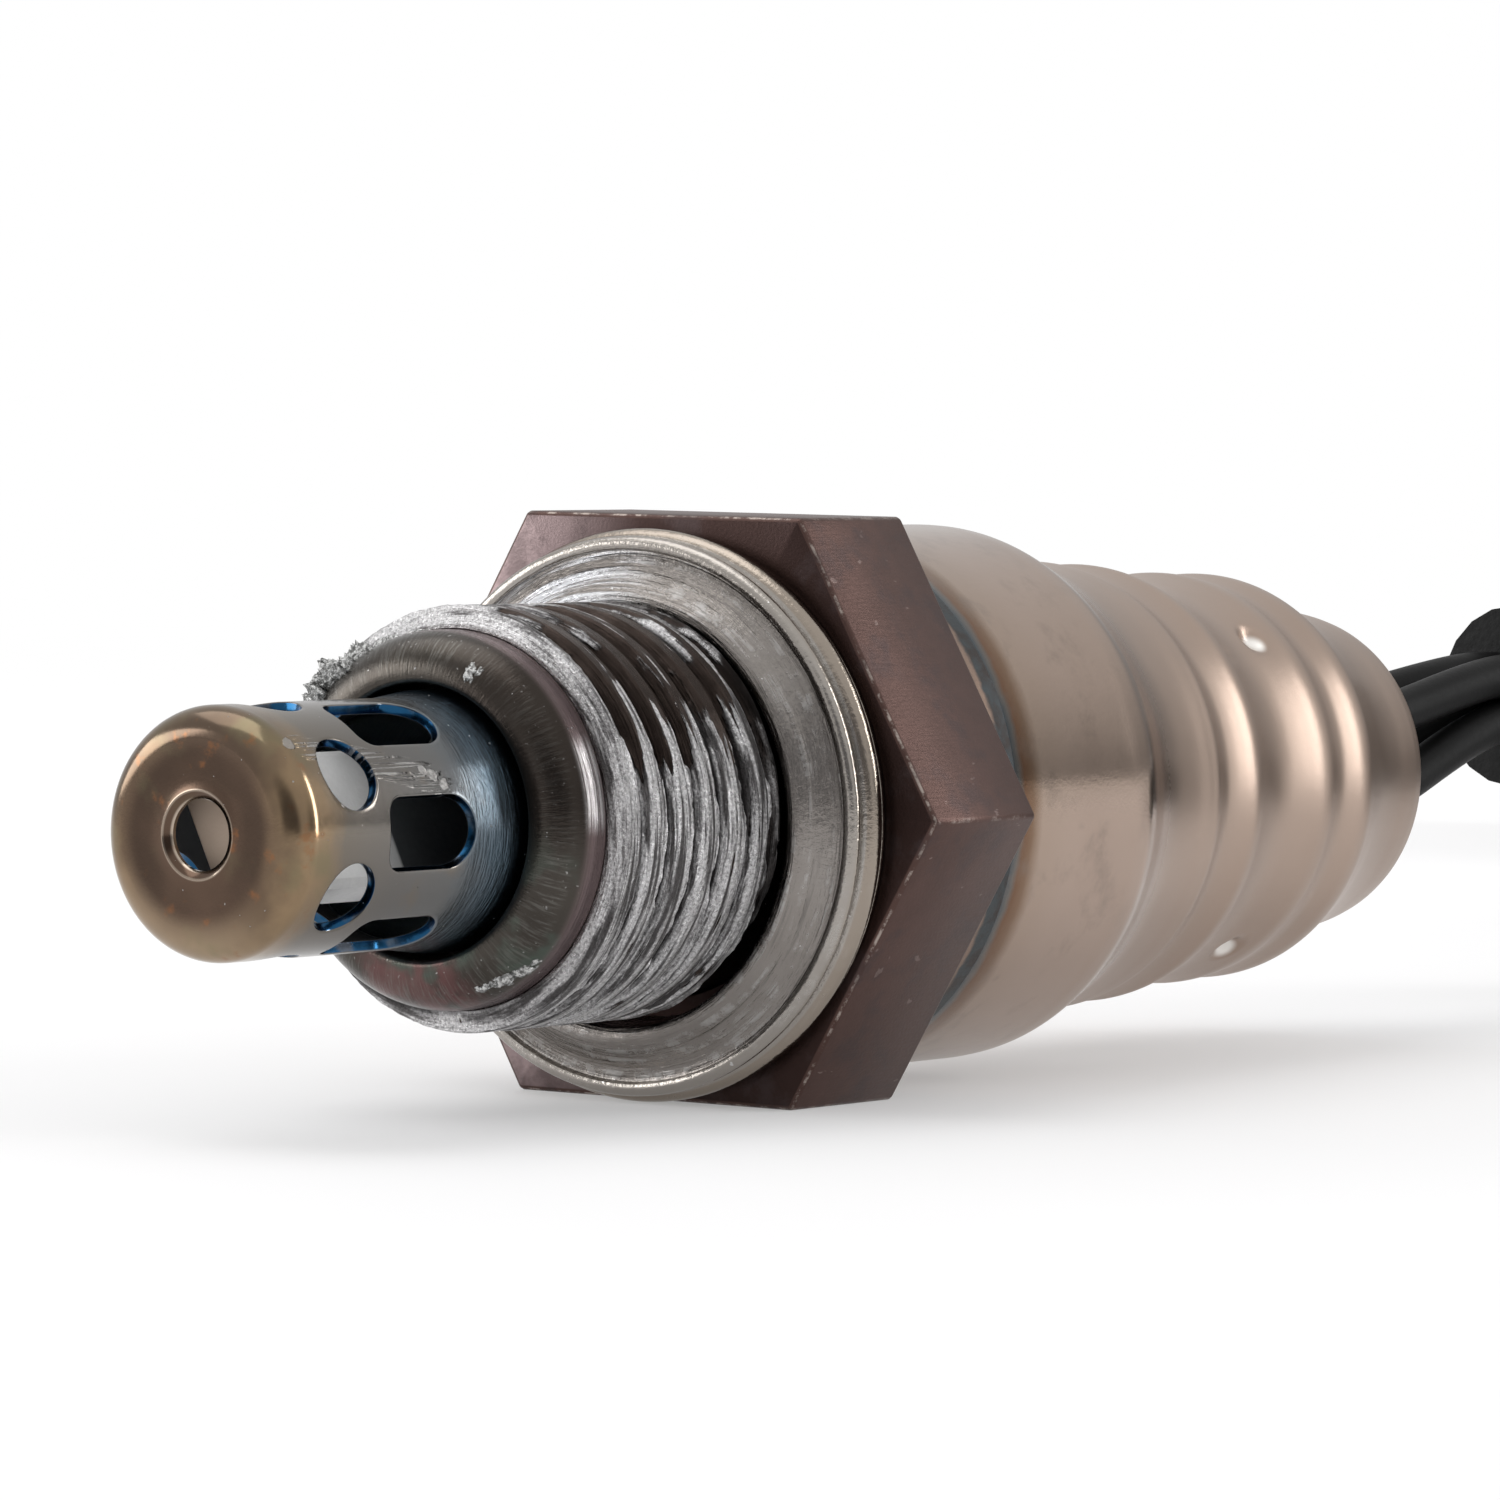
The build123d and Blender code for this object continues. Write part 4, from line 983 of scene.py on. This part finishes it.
# ----------------
# Packing and contacts: pressed talc between fired ceramic bushes, and a two-part ceramic holder that a sheet
# steel clip squeezes on four leaf contacts. None of it shows from outside.
# ----------------
def plain_finish(name, low, high, scale, roughness, depth, **constants):
    """A finish with one colour varied by noise, and a fine relief."""
    material, place, feed = new_finish(name, **constants)
    mottled = place.noise(scale, 4.0)
    fine = place.noise(scale * 8, 3.0)
    feed(mottled.blend(low, high), roughness + (fine - 0.5) * 0.16, fine * depth)
    return material


def numbered(name):
    """The names of a row of four like nodes."""
    return [f"{name}_{number}" for number in range(1, 5)]


fired_ceramic = plain_finish("fired_ceramic", (0.72, 0.70, 0.66), (0.84, 0.83, 0.80), 0.8, 0.62, 0.01)
pressed_talc = plain_finish("pressed_talc", (0.62, 0.60, 0.55), (0.78, 0.76, 0.72), 1.6, 0.85, 0.03)
nickel = plain_finish("contact_nickel", (0.50, 0.48, 0.44), (0.66, 0.64, 0.60), 1.5, 0.3, 0.003, Metallic=1.0)
refinish(fired_ceramic, "front_ceramic_bush", "rear_ceramic_bush")
refinish(fired_ceramic, "contact_holder_upper", "contact_holder_lower")
refinish(pressed_talc, "talc_seal")
refinish(sleeve_steel, "crimp_ring", "holder_clip")
refinish(nickel, *numbered("contact"))


# ----------------
# Grommet and lead wires: a moulded rubber plug with four bores, and four insulated wires that leave it and
# gather into the cable. The same four come out of the cable's far end and part to the plug.
# ----------------
WIRE_RADIUS = 0.7
DULL_SPECULAR = 0.15
WIRE_BEND = 2.3
WIRE_HIDDEN = 3.0
PLUG_BEND = 1.6
GROMMET_REAR = 34.5
GROMMET_PITCH = 2.8
CABLE_PITCH = 1.5
PLUG_PITCH = 5.0
PLUG_GAP = 7.5
CABLE_FLOOR_Z = 3.4
CABLE_UPPER_Z = 9.6
LEAD_POINTS = [
    (38.1, -2.1, 10.7),
    (49.0, -3.6, 10.7),
    (58.8, -8.4, 9.2),
    (66.8, -15.8, 6.2),
    (73.4, -24.4, CABLE_FLOOR_Z),
    (80.6, -32.6, CABLE_FLOOR_Z),
]
COIL_RADIUS = 31.0
COIL_STUB = 8.0
TAIL_LENGTH = 20.0
REARWARD = Vector((1, 0, 0))
UPWARD = Vector((0, 0, 1))


def coil_entry():
    """Where the cable joins its coil, and the coil's centre."""
    before, end = Vector(LEAD_POINTS[-2]), Vector(LEAD_POINTS[-1])
    heading = (end - before).normalized()
    entry = end + heading * COIL_STUB
    return entry, entry + UPWARD.cross(heading) * COIL_RADIUS


def corners(pitch):
    """The four (across, up) places of the wires on a square of that pitch, in millimetres."""
    return [(y * pitch / 2, z * pitch / 2) for y in (1, -1) for z in (1, -1)]


def wire_runs(number):
    """The control points of one wire at the sensor, and of the same wire at the plug, in metres."""
    at_grommet = corners(GROMMET_PITCH)[number]
    in_cable = corners(CABLE_PITCH)[number]
    at_plug = corners(PLUG_PITCH)[number]
    mouth, following = Vector(LEAD_POINTS[0]), Vector(LEAD_POINTS[1])
    heading = (following - mouth).normalized()
    mouth += UPWARD.cross(heading) * in_cable[0] + UPWARD * in_cable[1]
    rear = Vector((SEAT_X + GROMMET_REAR, at_grommet[0], AXIS_Z + at_grommet[1]))
    near = [rear - REARWARD * WIRE_HIDDEN, rear, rear + REARWARD * WIRE_BEND]
    near += [mouth - heading * WIRE_BEND, mouth, mouth + heading * WIRE_HIDDEN]
    end = coil_entry()[1] + Vector((COIL_RADIUS, TAIL_LENGTH, 0))
    end.z = CABLE_UPPER_Z
    stops = [(along, in_cable) for along in (-WIRE_HIDDEN, 0.0, PLUG_BEND)]
    stops += [(PLUG_GAP + along, at_plug) for along in (-PLUG_BEND, 0.0, WIRE_HIDDEN)]
    far = [end + Vector((-across, along, up)) for along, (across, up) in stops]
    return [[p * MM for p in run] for run in (near, far)]


def nurbs_tube(name, runs, radius):
    """Round tubes along smooth curves through the control points of each run."""
    curve = bpy.data.curves.new(name, "CURVE")
    curve.dimensions = "3D"
    curve.bevel_depth = radius * MM
    curve.bevel_resolution = 8
    curve.resolution_u = 10
    curve.use_fill_caps = True
    for points in runs:
        spline = curve.splines.new("NURBS")
        spline.points.add(len(points) - 1)
        for control, place in zip(spline.points, points):
            control.co = (*place, 1)
        spline.order_u = 3
        spline.use_endpoint_u = True
    return new_object(name, curve)


rubber = plain_finish("moulded_rubber", (0.012, 0.012, 0.012), (0.028, 0.027, 0.026), 1.2, 0.62, 0.02)
refinish(rubber, "grommet")
dull = {"Specular_IOR_Level": DULL_SPECULAR}
insulation = plain_finish("black_insulation", grey(0.003), grey(0.007), 0.8, 0.5, 0.008, **dull)
for number, node in enumerate(numbered("lead_wire")):
    wire = nurbs_tube(f"wire_{number + 1}", wire_runs(number), WIRE_RADIUS)
    dress(wire, insulation, [node])


# ----------------
# Cable: the four wires in a matt black sleeve. It leaves the wires behind the sensor, comes down to the
# surface and is put away there in one round coil that a tape holds, with its plug beside it.
# ----------------
CABLE_RADIUS = 3.0
COIL_STEP = 20.0
COIL_EXIT = 360.0
CLIMB_START = 95.0
CLIMB_END = 165.0


def cable_route():
    """The route's points in metres: the run to the coil, its turns, and the run to the plug."""
    entry, centre = coil_entry()
    start = degrees(atan2(entry.y - centre.y, entry.x - centre.x))
    count = ceil((COIL_EXIT - start) / COIL_STEP)
    step = (COIL_EXIT - start) / count
    reach = COIL_RADIUS / cos(radians(step / 2))
    route = [Vector(p) for p in LEAD_POINTS]
    for i in range(count):
        angle = start + (i + 0.5) * step
        climb = eased((angle - CLIMB_START) / (CLIMB_END - CLIMB_START))
        z = CABLE_FLOOR_Z + (CABLE_UPPER_Z - CABLE_FLOOR_Z) * climb
        turn = radians(angle)
        route.append(Vector((centre.x + reach * cos(turn), centre.y + reach * sin(turn), z)))
    for along in (TAIL_LENGTH / 2, TAIL_LENGTH):
        route.append(Vector((centre.x + COIL_RADIUS, centre.y + along, CABLE_UPPER_Z)))
    return [p * MM for p in route]


def cable_finish():
    """Matt black sleeving with a little dust."""
    material, place, feed = new_finish("cable_sleeving", **dull)
    fine = place.noise(3.5, 4.0)
    dust = place.noise(0.4, 4.0)
    feed(dust.blend(grey(0.003), grey(0.008)), 0.52 + (fine - 0.5) * 0.2, fine * 0.03)
    return material


cable = nurbs_tube("cable", [cable_route()], CABLE_RADIUS)
dress(cable, cable_finish(), ["cable_lead", "cable_coil", "cable_tail"])
plug_nodes = ["connector_housing", "connector_seal_cap", "connector_wire_seal", "connector_terminal_lock"]
plug_nodes += numbered("connector_terminal")
refinish(plain_finish("tie_tape", (0.012, 0.012, 0.013), (0.020, 0.020, 0.021), 1.0, 0.4, 0.01), "coil_tie")


# ----------------
# Plug: a moulded black housing with a latch, a rear cap that holds the wire seal, a grey secondary lock, and
# four tin-plated pins.
# ----------------
soft_black, dusty_black = (0.012, 0.012, 0.013), (0.022, 0.022, 0.023)
moulding = plain_finish("moulded_black_plastic", soft_black, dusty_black, 0.6, 0.38, 0.012)
lock_plastic = plain_finish("grey_lock_plastic", (0.30, 0.30, 0.29), (0.38, 0.38, 0.36), 0.6, 0.45, 0.01)
seal_rubber = plain_finish("seal_rubber", (0.20, 0.045, 0.02), (0.28, 0.07, 0.035), 0.8, 0.55, 0.02)
tin_plate = plain_finish("tin_plate", (0.52, 0.51, 0.49), (0.68, 0.67, 0.65), 1.2, 0.28, 0.003, Metallic=1.0)
refinish(moulding, "connector_housing", "connector_seal_cap")
refinish(seal_rubber, "connector_wire_seal")
refinish(lock_plastic, "connector_terminal_lock")
refinish(tin_plate, *numbered("connector_terminal"))


# ----------------
# Surface, light and camera: a white table in a bright room, with a large soft light overhead, a narrow
# upright one at the camera's right, a low one like a window behind, and a long lens close to the table.
# ----------------
HEX_FRONT = Vector(point(0, 0, 0))
CAMERA_OFFSET = Vector((-193.07, -142.01, 13.0)) * MM
CAMERA_FORWARD = Vector((0.8112, 0.5829, -0.0471))
CAMERA_RIGHT = Vector((0.5840, -0.8117, 0.0143))
CAMERA_LENS = 198.8
TABLE_SIZE = 40.0
TABLE_CLEAR = 100.0
TABLE_WHITE = 400.0
TABLE_GLOW = 0.3
RIGHT_CORNER = Vector((0.87, -0.50, 0.0))


def make_camera():
    """A long lens that looks along the sensor from beyond its tip."""
    data = bpy.data.cameras.new("camera")
    data.sensor_width = 36.0
    data.lens = CAMERA_LENS
    data.clip_start = 0.01
    camera = new_object("camera", data)
    up = CAMERA_RIGHT.cross(CAMERA_FORWARD)
    turn = Matrix((CAMERA_RIGHT, up, -CAMERA_FORWARD)).transposed()
    camera.matrix_world = Matrix.Translation(HEX_FRONT + CAMERA_OFFSET) @ turn.to_4x4()
    bpy.context.scene.camera = camera


def soft_light(name, azimuth, elevation, distance, width, height, radiance, lean=0.0):
    """A rectangular light that faces the sensor; azimuth is from +X to +Y, and lean turns it in its plane."""
    data = bpy.data.lights.new(name, "AREA")
    data.shape = "RECTANGLE"
    data.size = width
    data.size_y = height
    data.energy = radiance * pi * width * height
    light = new_object(name, data)
    a, e = radians(azimuth), radians(elevation)
    away = Vector((cos(e) * cos(a), cos(e) * sin(a), sin(e)))
    light.location = HEX_FRONT + away * distance
    facing = away.to_track_quat("Z", "Y") @ Quaternion((0, 0, 1), radians(lean))
    light.rotation_euler = facing.to_euler()


def ray_sight(shade):
    """1 for what the camera sees straight, and 1 for what it sees straight, mirrored or through glass."""
    kinds = ("Camera", "Glossy", "Transmission")
    camera, glossy, through = (shade.node("LightPath", {}, {}, f"Is {kind} Ray") for kind in kinds)
    return camera, camera.math("MAXIMUM", glossy.math("MAXIMUM", through))


def make_table():
    """A white table that fades to pure white far from the sensor; near it, a faint glow seen by the camera,
    in reflections and through glass lightens its shadow.
    """
    mesh = bpy.data.meshes.new("table")
    half = TABLE_SIZE / 2
    corner_signs = [(-1, -1), (1, -1), (1, 1), (-1, 1)]
    mesh.from_pydata([(x * half, y * half, 0) for x, y in corner_signs], [], [(0, 1, 2, 3)])
    paint = (0.84, 0.835, 0.84)
    material, place, _ = new_finish("white_table", Base_Color=paint, Roughness=0.6, Specular_IOR_Level=0.2)
    tree = material.node_tree
    surface = tree.nodes["Principled BSDF"]
    away = place.vector("LENGTH", output=1)
    # Painted light: near the sensor the table glows at TABLE_GLOW, which lightens its shadow.
    glow_share = (TABLE_GLOW + away.rises(TABLE_CLEAR, TABLE_WHITE) * (1 - TABLE_GLOW)) * ray_sight(place)[1]
    white = glow_share.node("Emission", {}, {"Color": grey(1.0)})
    mixed = glow_share.node("MixShader", {}, {0: glow_share, 1: Shade(surface.outputs[0]), 2: white})
    tree.links.new(mixed.socket, tree.nodes["Material Output"].inputs["Surface"])
    mesh.materials.append(material)
    new_object("table", mesh)


def make_room():
    """A white room, darker round the camera and behind the right-hand light, and white to the camera."""
    world = bpy.data.worlds.new("room")
    world.use_nodes = True
    bpy.context.scene.world = world
    tree = world.node_tree
    background = tree.nodes["Background"]
    heading = Shade(background.outputs[0]).node("TexCoord", {}, {}, "Generated")
    up = heading.split()[2]

    def towards(direction):
        return heading.vector("DOT_PRODUCT", tuple(direction), 1)

    walls = up.ramp([(0.0, 0.74, 0.74, 0.75), (0.3, *grey(0.78)), (1.0, *grey(1.0))])
    darkened = [(0.045, 1.0), (0.060, 0.20), (0.25, 0.42), (0.50, 0.80), (1.0, 1.0)]
    corner = up.ramp([(height, *grey(level)) for height, level in darkened])
    walls = towards(RIGHT_CORNER).rises(0.45, 0.75).blend(walls, corner)
    walls = towards(-CAMERA_FORWARD).rises(0.78, 0.95).blend(walls, (0.22, 0.22, 0.23))
    camera = ray_sight(heading)[0]
    tree.links.new(camera.blend(walls, grey(1.0)).socket, background.inputs["Color"])


make_camera()
make_room()
make_table()
soft_light("overhead_light", azimuth=110, elevation=70, distance=0.75, width=0.6, height=0.6, radiance=1.7)
soft_light(
    "right_light", azimuth=-47, elevation=18, distance=0.6, width=0.085, height=0.40, radiance=10.0, lean=-15
)
soft_light("window_light", azimuth=120, elevation=14, distance=0.7, width=0.50, height=0.24, radiance=4.6)

bpy.context.scene.view_settings.view_transform = "Standard"
